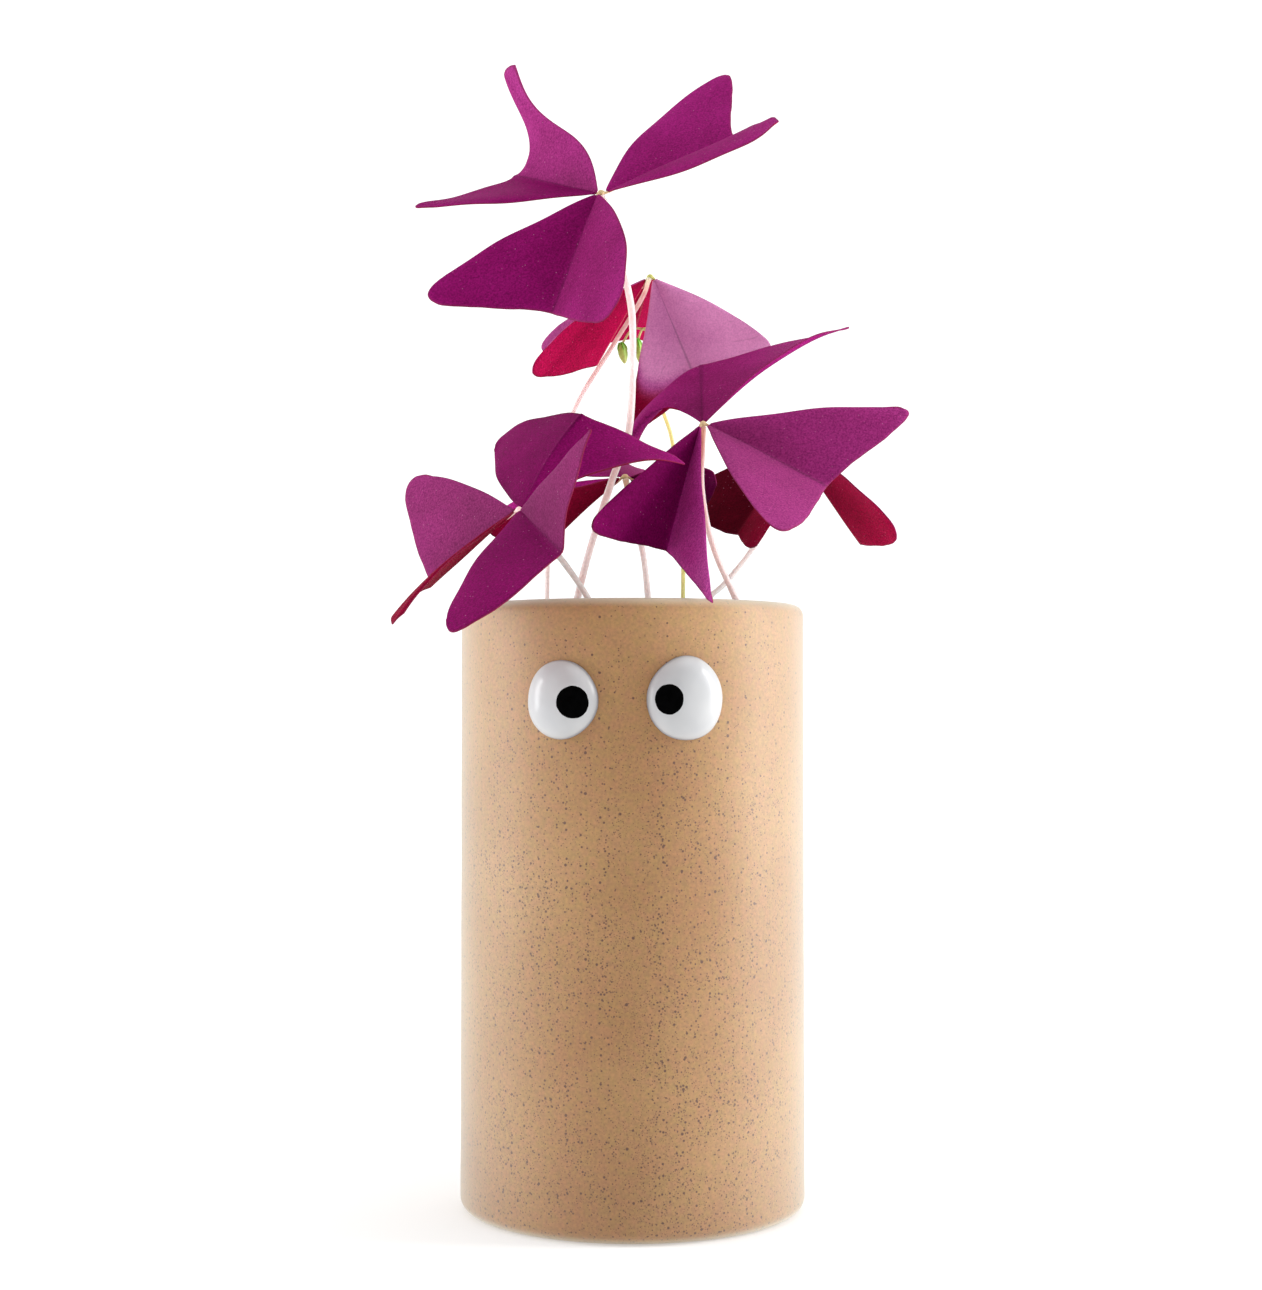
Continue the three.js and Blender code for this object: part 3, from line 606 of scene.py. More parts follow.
def leafMaterial():
    material, tree, place = newMaterial("purpleLeafSkin", Roughness=0.65, Specular_IOR_Level=0.02)
    marks, colours = leafMarks, leafColours
    split = tree.nodes.new("ShaderNodeSeparateXYZ")
    tree.links.new(coordinates(tree, "UV"), split.inputs[0])
    # across is 0 on the midrib and 1 on the side edge, along is 0 at the base and 1 at the far edge
    across = maths(tree, "ABSOLUTE", maths(tree, "MULTIPLY_ADD", split.outputs["X"], 2.0, -1.0))
    along = split.outputs["Y"]
    under = step(tree, attribute(tree, "under"), 0.3, 0.7)
    toneAndShade = attribute(tree, "toneAndShade")
    paintedSheen = attribute(tree, "paintedSheen")

    def marked(colour, name, mask):
        # the mark's colour, at its strength, over the colour
        return mixed(tree, product(tree, mask, marks[name]), colour, colours[name])

    # side veins leave the midrib at even steps and sweep outward, each a thin line
    swept = product(tree, maths(tree, "POWER", across, 0.8), marks["veinSweep"])
    wander = maths(tree, "MULTIPLY_ADD", noise(tree, place, 55, 2), 0.08, -0.04)
    count = product(tree, maths(tree, "ADD", maths(tree, "SUBTRACT", along, swept), wander), marks["veins"])
    line = step(tree, maths(tree, "PINGPONG", count, 0.5), 0.085, 0.0)
    patchy = step(tree, noise(tree, place, 110, 2), 0.45, 0.65)
    vein = product(tree, line, patchy, step(tree, across, 1.0, 0.75))
    rib = step(tree, across, 0.028, 0.0)

    # a colour for each face from its tone, which is the half's own colour with painted light and shade,
    # and a soft mottle, with darker veins and rib on the upper one and a paler rib on the under one
    mottle = noise(tree, place, 70, 4, 0.6)
    mottle = maths(tree, "MULTIPLY_ADD", mottle, marks["mottle"], -marks["mottle"] / 2)
    shade = maths(tree, "ADD", toneAndShade, mottle)
    upperColour = marked(marked(ramp(tree, shade, colours["upper"]), "vein", vein), "rib", rib)
    ribShown = product(tree, rib, step(tree, toneAndShade, 0.1, 0.9))
    underColour = marked(ramp(tree, shade, colours["under"]), "underRib", ribShown)
    colour = mixed(tree, under, upperColour, underColour)

    # a painted sheen that greys the upper side, a fine grain where there is none, partly the leaf's own
    # texture and partly painted sparkle, and small pale dots that are painted glints
    colour = mixed(tree, paintedSheen, colour, colours["paintedSheen"])
    colour = tinted(tree, place, colour, 2000, 2, [(0.33, (0.70, 0.60, 0.70)), (0.67, (1.31, 1.46, 1.31))],
                    roughness=0.7, share=step(tree, paintedSheen, 0.5, 0.0))
    colour = marked(colour, "paintedGlint", spots(tree, place, 1500, 0.10, 0.3))
    # the thin margin all round is a touch paler and browner
    margin = maths(tree, "MAXIMUM", step(tree, across, 0.972, 0.995), step(tree, along, 0.985, 0.998))
    colour = marked(colour, "margin", margin)

    # a fine rough skin, lower along the veins
    height = maths(tree, "MULTIPLY_ADD", noise(tree, place, 1500, 2, 0.6), 0.5, product(tree, vein, -0.5))
    return painted(material, colour, height, 0.00012, 0.6)


def halfBlade(u, v, base, notch, sideTip, side, creaseUp, size, shape):
    # u runs from the base to the far edge and v from the midrib to the side edge. The far edge is one
    # cubic Bezier from the notch to the side edge's end, and each line from the base to it is a
    # quadratic Bezier whose middle point bows outward and upward
    s = {**plainShape, **shape}
    up = unit(np.cross(notch - base, sideTip - base)) * side
    along = unit(sideTip - base)
    forward = unit(notch - base)
    outward = np.cross(up, along) * side
    reach = np.linalg.norm(sideTip - base)
    spread = outward * blade["edgeSpread"] * size
    end = base + along * reach * (1 - s["blunt"]) + spread + up * blade["edgeCurl"] * s["curl"] * size
    bow = base + (end - base) * s["bellyPlace"] + outward * s["belly"] * size + up * s["lift"] * size
    first = notch + (sideTip - notch) * blade["notchShare"]
    first = first + forward * s["bulge"] * size + up * s["sag"] * size
    past = unit(end - bow) * reach * (s["blunt"] + s["round"])
    second = end + past + (up * s["curl"] - outward * s["wide"]) * size
    # the far edge, the middle points of the lines to it, and what bends and swings them
    far = (1 - v) ** 3 * notch + 3 * (1 - v) ** 2 * v * first + 3 * (1 - v) * v ** 2 * second + v ** 3 * end
    middle = base + (far - base) * (0.5 + (s["bellyPlace"] - 0.5) * v)
    middle = middle + (1 - v) * creaseUp * s["arch"] * size
    middle = middle + v * (outward * s["belly"] + up * s["lift"]) * size
    middle = middle + 4 * v * (1 - v) * up * s["cup"] * size
    bend = u ** 3 * np.minimum(1, v / blade["bendPlace"]) ** 2 * np.array(s["tip"], float)
    swing = v ** 2 * s["sway"] * size * np.sin(2 * np.pi * u) * outward
    return (1 - u) ** 2 * base + 2 * u * (1 - u) * middle + u ** 2 * far + bend + swing


def leafletFrame(hub, size, spec):
    # the base, notch and side tips of a leaflet, and the directions that its halves and crease face
    middle = direction(spec["mid"])
    lengths = spec.get("long", (1, 1, 1))
    start = hub + middle * blade["creaseStart"]
    notch = start + middle * blade["crease"] * size * lengths[0]
    leftTip = start + direction(spec["left"]) * blade["side"] * size * lengths[1]
    rightTip = start + direction(spec["right"]) * blade["side"] * size * lengths[2]
    base = hub + direction((spec["mid"][0], blade["stalkRise"] * spec["mid"][1])) * blade["stalk"]
    leftUp = unit(np.cross(notch - base, leftTip - base))
    rightUp = unit(np.cross(rightTip - base, notch - base))
    return base, notch, leftTip, rightTip, leftUp, unit(leftUp + rightUp)


def gridNormal(points):
    # the unit normals of a grid of points
    return unit(np.cross(np.gradient(points, axis=1), np.gradient(points, axis=0)))


def leafletSheet(hub, size, spec):
    # both halves as one grid from the left side edge over the midrib to the right side edge, then an
    # upper and a lower face half a thickness off it, joined by a wall
    base, notch, leftTip, rightTip, leftUp, creaseUp = leafletFrame(hub, size, spec)
    rows, columns = blade["rows"], blade["columns"]
    u = np.linspace(blade["firstRow"], 1, rows + 1)[:, None, None]
    v = np.linspace(0, 1, columns + 1)[None, :, None]
    left = halfBlade(u, v, base, notch, leftTip, 1, creaseUp, size, spec.get("leftShape", {}))
    right = halfBlade(u, v, base, notch, rightTip, -1, creaseUp, size, spec.get("rightShape", {}))
    middle = np.concatenate([left[:, ::-1], right[:, 1:]], axis=1)
    w = np.linspace(-1, 1, 2 * columns + 1)[None, :]
    uu = u[:, :, 0] + 0 * w
    ww = w + 0 * uu

    # soft swells between the veins, a wavy margin, and a crease that is rounder the more it is folded
    phase = rng.uniform(0, 2 * np.pi, 8)
    normal = gridNormal(middle)
    swell = np.sin(7 * uu + 3 * np.abs(ww) + phase[0]) * np.sin(2.2 * ww + phase[1]) * np.minimum(1, 3 * uu)
    ripple = np.abs(ww) ** 5 * np.sin(13 * uu + phase[2] + 2 * np.sign(ww))
    ripple = ripple + uu ** 9 * np.sin(15 * ww + phase[3])
    fromRib = np.linalg.norm(middle - middle[:, columns:columns + 1], axis=-1)
    fold = 1 - max(0.0, float(leftUp @ creaseUp))
    rounded = (relief["crease"] + relief["foldedCrease"] * fold) * np.minimum(1, 4 * uu)
    rounded = rounded * np.exp(-(fromRib / (0.5 + 1.2 * fold)) ** 2)
    shift = (relief["swell"] * swell + relief["ripple"] * ripple) * size
    middle = middle + normal * shift[..., None] + creaseUp * rounded[..., None]
    # the far edge is slightly ragged, except at the notch
    ragged = sum(part * np.sin(k * ww + start) for (k, part), start in zip(raggedWaves, phase[4:7]))
    ragged = relief["ragged"] * ragged * uu ** 14 * (1 - np.exp(-(ww / 0.08) ** 2))
    middle = middle + unit(np.gradient(middle, axis=0)) * ragged[..., None]
    normal = gridNormal(middle)

    # a groove over the midrib and a keel under it, both lower towards the notch
    fade = (1 - 0.6 * uu) * np.minimum(1, 6 * uu)
    groove = relief["groove"] * np.exp(-(fromRib / relief["grooveWidth"]) ** 2) * fade
    keel = relief["keel"] * np.exp(-(fromRib / relief["keelWidth"]) ** 2) * fade
    half = blade["thickness"] / 2
    upper = middle + normal * (half - groove)[..., None]
    lower = middle - normal * (half + keel)[..., None]

    count = 2 * columns + 1
    total = (rows + 1) * count
    faces = gridQuads(rows + 1, count)
    rim = np.concatenate([
        np.arange(count), np.arange(1, rows + 1) * count + count - 1,
        rows * count + np.arange(count - 1)[::-1], np.arange(1, rows)[::-1] * count,
    ])
    after = np.roll(rim, -1)
    walls = np.stack([after, rim, rim + total, after + total], -1)
    uv = np.stack([(ww + 1) / 2, uu], -1).reshape(-1, 2)
    return dict(
        points=np.concatenate([upper.reshape(-1, 3), lower.reshape(-1, 3)]),
        quads=np.concatenate([faces, faces[:, ::-1] + total, walls]),
        uv=np.concatenate([uv, uv]),
        **leafletShading(spec, uu, ww),
    )


def leafletShading(spec, uu, ww):
    # each value eases from one half's to the other's over the rib, and the tone is darker by the rib
    # and the base. The tips of some halves pass to crimson on the upper side
    easing = 1 / (1 + np.exp(-ww * shading["ribSharpness"]))

    def eased(name, plain=(0, 0)):
        left, right = spec.get(name, plain)
        return left * (1 - easing) + right * easing

    gradient = shading["across"] * (np.abs(ww) - 0.5) + shading["along"] * (uu - 0.55)
    turned = (uu - shading["tipStart"] + shading["tipSlant"] * np.abs(ww)) / shading["tipFade"]
    turned = np.clip(turned, 0, 1)
    turned = turned ** 2 * (3 - 2 * turned) * eased("tips")
    # the tone carries painted light and shade besides the half's own colour, and the grey over it is a
    # painted sheen
    toneAndShade = eased("toneAndShade") + gradient
    toneAndShade = toneAndShade + (shading["tipTone"] - toneAndShade) * turned
    paintedSheen = eased("paintedSheen") * (1 - turned)
    above = np.maximum(eased("above"), shading["tipCrimson"] * turned)
    below = eased("below", (1, 1))
    pairs = dict(toneAndShade=(toneAndShade, eased("underToneAndShade") + gradient), paintedSheen=(paintedSheen, 0 * paintedSheen), under=(above, below))
    return {name: np.concatenate([face.ravel() for face in pair]) for name, pair in pairs.items()}


def makeLeaf(letter, leaf, material):
    # the three leaflets of a leaf as one piece
    hub = np.array(leaf["hub"], float)
    sheets = [leafletSheet(hub, leaf["size"], spec) for spec in leaf["leaflets"]]
    starts = np.cumsum([0] + [len(s["points"]) for s in sheets])
    makeMesh(
        "leafBlades_" + letter,
        np.concatenate([s["points"] for s in sheets]),
        np.concatenate([s["quads"] + start for s, start in zip(sheets, starts)]),
        material, "leaf_" + letter,
        uv=np.concatenate([s["uv"] for s in sheets]),
        attributes={key: np.concatenate([s[key] for s in sheets]) for key in ("toneAndShade", "paintedSheen", "under")},
    )


leafSkin = leafMaterial()
for leafLetter, leafSpec in leaves.items():
    makeLeaf(leafLetter, leafSpec, leafSkin)
print("leaf blades made")


# stems: petioles, the knots that the leaflets leave, and the flower stalk

# after its hub each petiole passes these points down to the level of the rim; hue gives its colour
# at the top, at the middle and at the bottom, and knot its knot's: 0 pale pink, 0.5 tan, 0.8 pale green
# and 1 green
petioles = {
    "a": dict(
        radius=0.92, hue=(0.28, 0.2, 0.05), knot=0.56,
        route=[(-1.4, -17, 238.8), (0.1, -15, 224.9), (-0.9, -13, 201.9), (-5.3, -11, 189.1),
               (-11.1, -9, 171.1), (-14.4, -8, 158.1)],
    ),
    "b": dict(
        radius=0.65, hue=(0.52, 0.24, 0.06), knot=0.68,
        route=[(2.4, 29, 243.7), (-6.2, 28, 229.5), (-15.9, 27, 213.2), (-21.4, 35, 196.8),
               (-23.4, 34, 179.9), (-23.6, 26, 159.9)],
    ),
    "c": dict(
        radius=0.85, hue=(0.44, 0.22, 0.0), knot=0.54,
        route=[(17.9, -8, 189.5), (19.2, -8, 179), (22.4, -6, 168.7), (27.2, -2, 158.4)],
    ),
    "d": dict(
        radius=0.8, hue=(0.1, 0.05, 0.05), knot=0.15,
        route=[(-23.6, -38, 173.2), (-17.8, -26, 167.3), (-11.1, -18, 157.6)],
    ),
    "e": dict(
        radius=0.82, hue=(0.5, 0.1, 0.04), knot=0.55,
        route=[(-0.1, 14, 183.6), (2.8, 10, 171.7), (4.2, 8, 158.9)],
    ),
    "f": dict(
        radius=0.76, hue=(0.4, 0.05, 0.0), knot=0.55,
        route=[(40.6, 31, 188), (34.1, 30, 175.4), (25.7, 22, 164.6), (20.5, 17, 159.4)],
    ),
}
petioleTube = dict(inKnot=0.6, steps=110, sides=18, ribbing=0.025)
knob = dict(radii=(0.95, 0.95, 0.85), lobes=0.14, lobeWidth=0.6)  # lobes is the height of its swellings
stub = dict(reach=3.2, base=0.52, tip=0.18, steps=22, sides=14, hue=0.3)  # hue is that of its tip
stalk = dict(
    umbel=(5.6, 47, 238), umbelRadii=(0.95, 0.95, 0.8), umbelHue=0.8, radius=0.6, steps=120, sides=14,
    route=[(5.1, 49, 228.7), (8.3, 51, 217.1), (11.4, 51, 207.3), (13.3, 44, 189.3), (14.2, 36, 171.6),
           (14, 28, 160)],
    hueAt=(0, 0.35, 0.6, 1), hue=(0.66, 0.67, 0.69, 0.71), poleHue=(0.66, 0.78),
    buds=[
        dict(calyx=(-3.3, 45.6, 234.4), tip=(-2.2, 45.2, 228.6), width=2.7),
        dict(calyx=(1.3, 45.4, 235.6), tip=(2.3, 44.8, 228.4), width=2.3),
        dict(calyx=(4.9, 46.6, 237), tip=(3.6, 46.2, 234.8), width=1.4),
    ],
)
# a pedicel is the stalk of one bud, and a bud is closed petals that narrow sepals hold; a sepal's
# reach is its share of the bud's length
pedicel = dict(radius=0.33, arch=0.6, hue=0.72, steps=20, sides=10)
petals = dict(hue=(0.93, 0.83), furrows=0.07, steps=30, sides=20)
sepal = dict(count=5, reach=0.42, radius=0.34, hue=1.0, steps=12, sides=8)
knotRadius = 1.3
soilLevel = 145
# a stem leans on this far below the rim, and stands upright from above the soil to its foot
stemEnd = dict(leanOn=4, above=5, below=1, foot=138)


def stemMaterial(name, juicy):
    # juicy is the share of the light that goes on through the flesh
    material, tree, place = newMaterial(
        name, Roughness=0.42, Specular_IOR_Level=0.3, Subsurface_Weight=juicy, Subsurface_Scale=0.007,
        Subsurface_Radius=(1, 0.8, 0.75), Sheen_Weight=0.8 * juicy, Sheen_Roughness=0.6,
    )
    mottle = maths(tree, "MULTIPLY_ADD", noise(tree, place, 120, 2), 0.1, -0.05)
    colour = ramp(tree, maths(tree, "ADD", attribute(tree, "hue"), mottle), [
        (0.0, (1.0, 0.84, 0.75)), (0.15, (0.97, 0.68, 0.66)), (0.28, (0.90, 0.50, 0.50)),
        (0.4, (0.50, 0.21, 0.18)), (0.5, (0.74, 0.50, 0.32)), (0.66, (0.49, 0.47, 0.12)),
        (0.82, (0.66, 0.90, 0.28)), (1.0, (0.14, 0.70, 0.02)),
    ])
    colour = tinted(tree, place, colour, 1600, 2, [(0.3, (0.90, 0.89, 0.88)), (0.7, (1.08, 1.08, 1.08))])
    return painted(material, colour, noise(tree, place, 900, 2), 0.00005, 0.5)


def stemRoute(top, route):
    # a stem's points from its top to its foot in the soil
    before, rim = np.array(route[-2], float), np.array(route[-1], float)
    lean = rim - before
    foot = rim + lean * stemEnd["leanOn"] / abs(lean[2])
    heights = (soilLevel + stemEnd["above"], soilLevel - stemEnd["below"], stemEnd["foot"])
    return [tuple(top), *route, *((foot[0], foot[1], z) for z in heights)]


def makePetiole(letter, petiole, material):
    # a tube that swells a little under the knot and thickens towards the soil
    hub = np.array(leaves[letter]["hub"], float)
    away = unit(np.array(petiole["route"][0], float) - hub)
    top = hub + away * (knotRadius - petioleTube["inKnot"])
    path = spline(stemRoute(top, petiole["route"]), petioleTube["steps"])
    t = np.linspace(0, 1, len(path))
    radius = petiole["radius"] * (0.96 + 0.08 * t + 0.12 * np.exp(-(t / 0.02) ** 2))
    radius = radius + 0.03 * np.sin(40 * t + 1.7 * ord(letter))
    points, quads, tris = tube(path, radius, petioleTube["sides"], petioleTube["ribbing"])
    high, mid, low = petiole["hue"]
    hue = np.interp(t, (0, 0.12, 0.5, 1), (high, (high + mid) / 2, mid, low))
    hue = np.append(np.repeat(hue, petioleTube["sides"]), (high, low))
    makeMesh("petioleStem_" + letter, points, quads, material, "petiole_" + letter, tris,
             attributes={"hue": hue})


def ball(centre, radii, rings=14, around=20, squash=None):
    # a closed ball: rings of latitude between two poles, stretched along the axes
    lat = np.linspace(-np.pi / 2, np.pi / 2, rings + 2)[1:-1][:, None]
    lon = ringAngles(around)
    shape = np.stack([np.cos(lat) * np.cos(lon), np.cos(lat) * np.sin(lon), np.sin(lat) + 0 * lon], -1)
    if squash is not None:
        shape = shape * squash(lat, lon)[..., None]
    points = np.concatenate([shape.reshape(-1, 3), [[0, 0, -1], [0, 0, 1]]]) * radii + centre
    return points, *closedRings(rings, around)


def makeKnot(letter, leaf, material):
    # a three-lobed knob with a short stalk to each leaflet, which tapers into the midrib
    hub = np.array(leaf["hub"], float)
    headings = [math.radians(spec["mid"][0]) for spec in leaf["leaflets"]]

    def lobed(lat, lon):
        # a bell-shaped swelling towards each leaflet
        aside = [np.angle(np.exp(1j * (lon - heading))) for heading in headings]
        swelling = sum(np.exp(-(angle / knob["lobeWidth"]) ** 2) for angle in aside)
        return 1 - knob["lobes"] + knob["lobes"] * swelling

    hue = petioles[letter]["knot"]
    parts = [(*ball(hub, np.array(knob["radii"]), squash=lobed), hue)]
    for spec in leaf["leaflets"]:
        base, notch, _, _, _, creaseUp = leafletFrame(hub, leaf["size"], spec)
        end = base + unit(notch - base) * stub["reach"]
        path = spline([hub, hub + (base - hub) * 0.6, base - creaseUp * 0.1,
                       (base + end) / 2 - creaseUp * 0.2, end - creaseUp * 0.1], stub["steps"])
        t = np.linspace(0, 1, stub["steps"])
        shade = np.interp(t, (0, 0.5, 1), (hue, hue, stub["hue"]))
        shade = np.append(np.repeat(shade, stub["sides"]), (hue, stub["hue"]))
        parts.append((*tube(path, stub["base"] + (stub["tip"] - stub["base"]) * t, stub["sides"]), shade))
    points, quads, tris, hues = joined(parts)
    makeMesh("leafKnot_" + letter, points, quads, material, "leaf_" + letter, tris,
             attributes={"hue": hues})


def makeStalkStem(material):
    # a tube from the umbel's knob down to the soil, a little thicker there
    path = spline(stemRoute(stalk["umbel"], stalk["route"]), stalk["steps"])
    t = np.linspace(0, 1, len(path))
    points, quads, tris = tube(path, stalk["radius"] * (0.92 + 0.2 * t), stalk["sides"])
    hue = np.repeat(np.interp(t, stalk["hueAt"], stalk["hue"]), stalk["sides"])
    makeMesh("flowerStalkStem", points, quads, material, "flower_stalk", tris,
             attributes={"hue": np.append(hue, stalk["poleHue"])})


def budPieces(umbel, calyx, tip, width):
    # the pedicel arches over from the umbel's middle to the calyx
    arch = umbel + (calyx - umbel) * 0.6
    arch[2] = max(umbel[2], calyx[2]) + pedicel["arch"]
    path = spline([umbel, arch, calyx + (tip - calyx) * 0.1], pedicel["steps"])
    radius = np.full(pedicel["steps"], pedicel["radius"])
    yield (*tube(path, radius, pedicel["sides"]), pedicel["hue"])
    # the closed petals: a spindle with five shallow furrows
    s = np.linspace(0.0, 1.0, petals["steps"])
    spindle = width / 2 * np.sin(np.pi * (0.06 + 0.88 * s) ** 0.9) ** 0.75
    first, last = petals["hue"]
    hue = np.append(np.repeat(first + (last - first) * s, petals["sides"]), petals["hue"])
    yield (*tube(calyx + (tip - calyx) * s[:, None], spindle, petals["sides"], petals["furrows"]), hue)
    # the sepals: narrow pointed scales that hug the upper part
    along = unit(tip - calyx)
    side = unit(np.cross(along, [0.0, 1.0, 0.2]))
    other = np.cross(along, side)
    r = np.linspace(0, 1, sepal["steps"])[:, None]
    reach = np.linalg.norm(tip - calyx) * sepal["reach"]
    bow = width / 2 * (0.35 + 0.72 * np.sin(np.pi * r * 0.62))
    for turn in ringAngles(sepal["count"])[0]:
        line = calyx + along * reach * r + (math.cos(turn) * side + math.sin(turn) * other) * bow
        yield (*tube(line, sepal["radius"] * (1.02 - r[:, 0]) ** 0.6, sepal["sides"]), sepal["hue"])


def makeBuds(material):
    # the knob on which the pedicels sit, and the buds
    umbel = np.array(stalk["umbel"], float)
    parts = [(*ball(umbel, np.array(stalk["umbelRadii"])), stalk["umbelHue"])]
    for bud in stalk["buds"]:
        calyx, tip = np.array(bud["calyx"], float), np.array(bud["tip"], float)
        parts.extend(budPieces(umbel, calyx, tip, bud["width"]))
    points, quads, tris, hues = joined(parts)
    makeMesh("flowerBuds", points, quads, material, "flower_stalk", tris,
             attributes={"hue": hues})


stemSkin = stemMaterial("stemSkin", 1.0)
knotSkin = stemMaterial("knotSkin", 0.0)
budSkin = stemMaterial("budSkin", 0.25)
for stemLetter, stemSpec in petioles.items():
    makePetiole(stemLetter, stemSpec, stemSkin)
    makeKnot(stemLetter, leaves[stemLetter], knotSkin)
makeStalkStem(stemSkin)
makeBuds(budSkin)
print("stems, knots and buds made")


# soil

soil = dict(radius=39.7, sideHeights=(7.3, 11.3, 60, 120), rings=90, around=180)
# how many lumps, their least and greatest size, and how high they lie against it
crumbs = dict(amount=900, sizes=(0.5, 1.7), lift=0.25)
perlite = dict(amount=70, sizes=(0.5, 1.3), lift=0.35)


def soilMaterial():
    material, tree, place = newMaterial("pottingSoil", Roughness=0.95, Specular_IOR_Level=0.2)
    colour = ramp(tree, noise(tree, place, 500, 5, 0.7), [
        (0.3, (0.012, 0.008, 0.006)), (0.5, (0.035, 0.021, 0.013)), (0.7, (0.085, 0.052, 0.030)),
    ])
    fibre = spots(tree, place, 900, 0.25, 0.3)
    colour = mixed(tree, product(tree, fibre, 0.5), colour, (0.16, 0.10, 0.055, 1))
    return painted(material, colour, noise(tree, place, 1100, 4, 0.7), 0.0004, 0.8)


def perliteMaterial():
    material, tree, place = newMaterial("perlite", Roughness=0.9, Specular_IOR_Level=0.25)
    colour = ramp(tree, noise(tree, place, 1500, 3), [(0.35, (0.55, 0.52, 0.47)), (0.6, (0.80, 0.78, 0.74))])
    return painted(material, colour, noise(tree, place, 2500, 3, 0.7), 0.0002, 0.8)


def soilHeight(x, y):
    # long swells, a little lower towards the wall
    lumps = np.sin(0.31 * x + 0.8) * np.cos(0.27 * y - 0.5) + 0.5 * np.sin(0.55 * x - 0.62 * y)
    return soilLevel + 0.8 * (lumps + 1 - np.hypot(x, y) / 40)


def soilCrumble(x, y):
    # lumps of two sizes on top of the soil's long swells
    coarse = np.sin(1.9 * x + 1.3 * np.sin(0.8 * y)) * np.sin(1.7 * y + 1.1 * np.sin(0.9 * x))
    fine = np.sin(3.7 * x + 2 * np.sin(1.9 * y)) * np.sin(3.9 * y - 1.5 * np.sin(2.2 * x))
    return 0.35 * coarse + 0.22 * fine


def makeSoil(material):
    # rings up the side of the soil, then inward over its surface, which is flat at the wall
    angle = ringAngles(soil["around"])
    r = np.concatenate([[0.9, 1.0, 1.0, 1.0], np.linspace(1, 0.01, soil["rings"])])[:, None] * soil["radius"]
    x, y = r * np.cos(angle), r * np.sin(angle)
    z = soilHeight(x, y) + soilCrumble(x, y) * np.clip((soil["radius"] - r) / 1.5, 0, 1)
    z[:4] = np.array(soil["sideHeights"])[:, None]
    poles = [[0, 0, soil["sideHeights"][0]], [0, 0, z[-1].mean()]]
    points = np.concatenate([np.stack([x, y, z], -1).reshape(-1, 3), poles])
    quads, tris = closedRings(len(r), soil["around"])
    makeMesh("soilBody", points, quads, material, "soil", tris)


def scatter(name, material, amount, sizes, lift):
    # jittered twenty-faced lumps, strewn evenly over the soil and turned at random
    template = bmesh.new()
    bmesh.ops.create_icosphere(template, subdivisions=1, radius=1)
    corners = np.array([v.co[:] for v in template.verts])
    faces = np.array([[v.index for v in f.verts] for f in template.faces])
    template.free()
    radius = (soil["radius"] - 2) * np.sqrt(rng.uniform(0, 1, amount))
    angle = rng.uniform(0, 2 * np.pi, amount)
    x, y = radius * np.cos(angle), radius * np.sin(angle)
    size = rng.uniform(*sizes, amount) * rng.uniform(0.6, 1, amount)
    turn = np.linalg.qr(rng.normal(size=(amount, 3, 3)))[0]
    turn[np.linalg.det(turn) < 0, :, 0] *= -1
    jitter = rng.uniform(0.65, 1.1, (amount, len(corners), 1))
    lumps = corners[None] * jitter * rng.uniform(0.5, 1, (amount, 1, 3))
    lumps = np.einsum("nij,nkj->nki", turn, lumps) * size[:, None, None]
    height = soilHeight(x, y) + soilCrumble(x, y) + size * lift
    lumps = lumps + np.stack([x, y, height], -1)[:, None]
    tris = (faces[None] + (np.arange(amount) * len(corners))[:, None, None]).reshape(-1, 3)
    makeMesh(name, lumps.reshape(-1, 3), np.zeros((0, 4), np.int32), material, None, tris)


soilSkin = soilMaterial()
makeSoil(soilSkin)
scatter("soilCrumbs", soilSkin, **crumbs)
scatter("perliteGrains", perliteMaterial(), **perlite)
print("soil made")


# floor, light and camera

studio = dict(
    cameraPlace=(-0.00039, -0.571, 0.1296), tiltUp=1.71, lens=60.42, sensor=36,
    frontLight=0.42, backLight=1.25,
    floorReach=6, floorColour=0.60, floorGlow=(0.40, 0.80), floorFade=(0.1, 1.2),
    lampsFace=(0, 0, 0.15),
)
# soft boxes: place, width, height and power in watts
softBoxes = dict(
    right=((0.70, -0.04, 0.24), 0.20, 0.80, 6.3),
    left=((-0.74, -0.04, 0.24), 0.20, 0.80, 4.1),
    top=((0.10, -0.10, 0.95), 0.60, 0.60, 2.2),
)


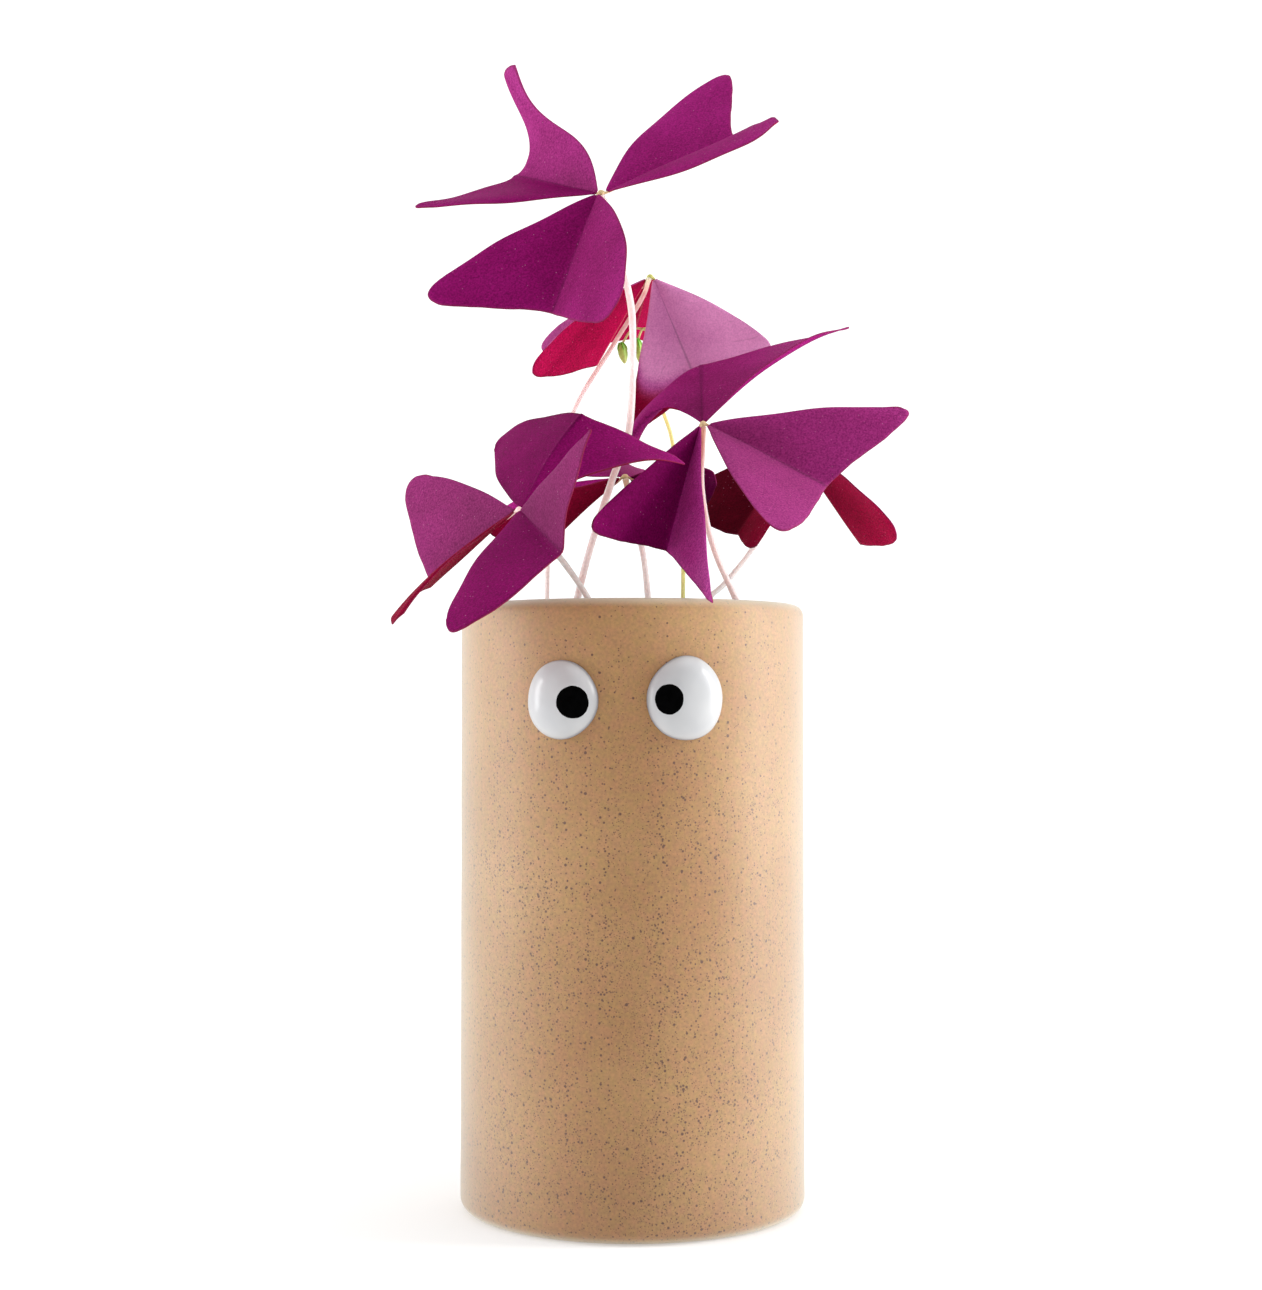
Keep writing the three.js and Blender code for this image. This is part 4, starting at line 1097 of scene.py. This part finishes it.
def makeFloor():
    # a bright table that fades without an edge into the white surroundings
    material, tree, place = newMaterial(
        "paleFloor", Roughness=0.9, Specular_IOR_Level=0.0, Emission_Strength=1.0,
    )
    distance = tree.nodes.new("ShaderNodeVectorMath")
    distance.operation = "LENGTH"
    tree.links.new(place, distance.inputs[0])
    near, far = studio["floorGlow"]
    outward = step(tree, distance.outputs["Value"], *studio["floorFade"])
    underToneAndShade = ramp(tree, outward, [(0, (near,) * 3), (1, (far,) * 3)])
    tree.links.new(underToneAndShade, tree.nodes["Principled BSDF"].inputs["Emission Color"])
    low, high = studio["floorColour"] - 0.01, studio["floorColour"] + 0.01
    colour = ramp(tree, noise(tree, place, 3), [(0.3, (low,) * 3), (0.7, (high,) * 3)])
    mesh = bpy.data.meshes.new("floor")
    edge = studio["floorReach"]
    corners = [(-edge, -edge, 0), (edge, -edge, 0), (edge, edge, 0), (-edge, edge, 0)]
    mesh.from_pydata(corners, [], [(0, 1, 2, 3)])
    mesh.materials.append(painted(material, colour))
    floor = bpy.data.objects.new("floor", mesh)
    bpy.context.collection.objects.link(floor)


def makeSoftBox(name, place, width, height, power):
    # a lamp that faces the middle of the plant and isn't seen itself
    light = bpy.data.lights.new(name, "AREA")
    light.shape = "RECTANGLE"
    light.size, light.size_y, light.energy = width, height, power
    lamp = bpy.data.objects.new(name, light)
    lamp.location = place
    towards = Vector(studio["lampsFace"]) - Vector(place)
    lamp.rotation_euler = towards.to_track_quat("-Z", "Y").to_euler()
    lamp.visible_camera = False
    bpy.context.collection.objects.link(lamp)


def makeSurroundings():
    # white to look at; the light that it gives grows smoothly from the front of the room to its back
    world = bpy.data.worlds.new("studio")
    world.use_nodes = True
    tree = world.node_tree
    split = tree.nodes.new("ShaderNodeSeparateXYZ")
    tree.links.new(coordinates(tree, "Generated"), split.inputs[0])
    backward = step(tree, split.outputs["Y"], -0.7, 0.9)
    front, back = studio["frontLight"], studio["backLight"]
    given = maths(tree, "MULTIPLY_ADD", backward, back - front, front)
    seen = tree.nodes.new("ShaderNodeLightPath").outputs["Is Camera Ray"]
    plug(tree, tree.nodes["Background"].inputs["Strength"], maths(tree, "MAXIMUM", seen, given))
    tree.nodes["Background"].inputs["Color"].default_value = (1, 1, 1, 1)
    bpy.context.scene.world = world


def makeStudio():
    # the lens looks straight back from the front, and tilts up a little
    makeFloor()
    for name, box in softBoxes.items():
        makeSoftBox(name, *box)
    makeSurroundings()
    data = bpy.data.cameras.new("camera")
    data.lens, data.sensor_width, data.sensor_fit = studio["lens"], studio["sensor"], "AUTO"
    data.clip_start, data.clip_end = 0.01, 30
    camera = bpy.data.objects.new("camera", data)
    camera.location = studio["cameraPlace"]
    camera.rotation_euler = (math.radians(90 + studio["tiltUp"]), 0, 0)
    bpy.context.collection.objects.link(camera)
    bpy.context.scene.camera = camera
    bpy.context.scene.view_settings.view_transform = "Standard"


makeStudio()
print("studio made")
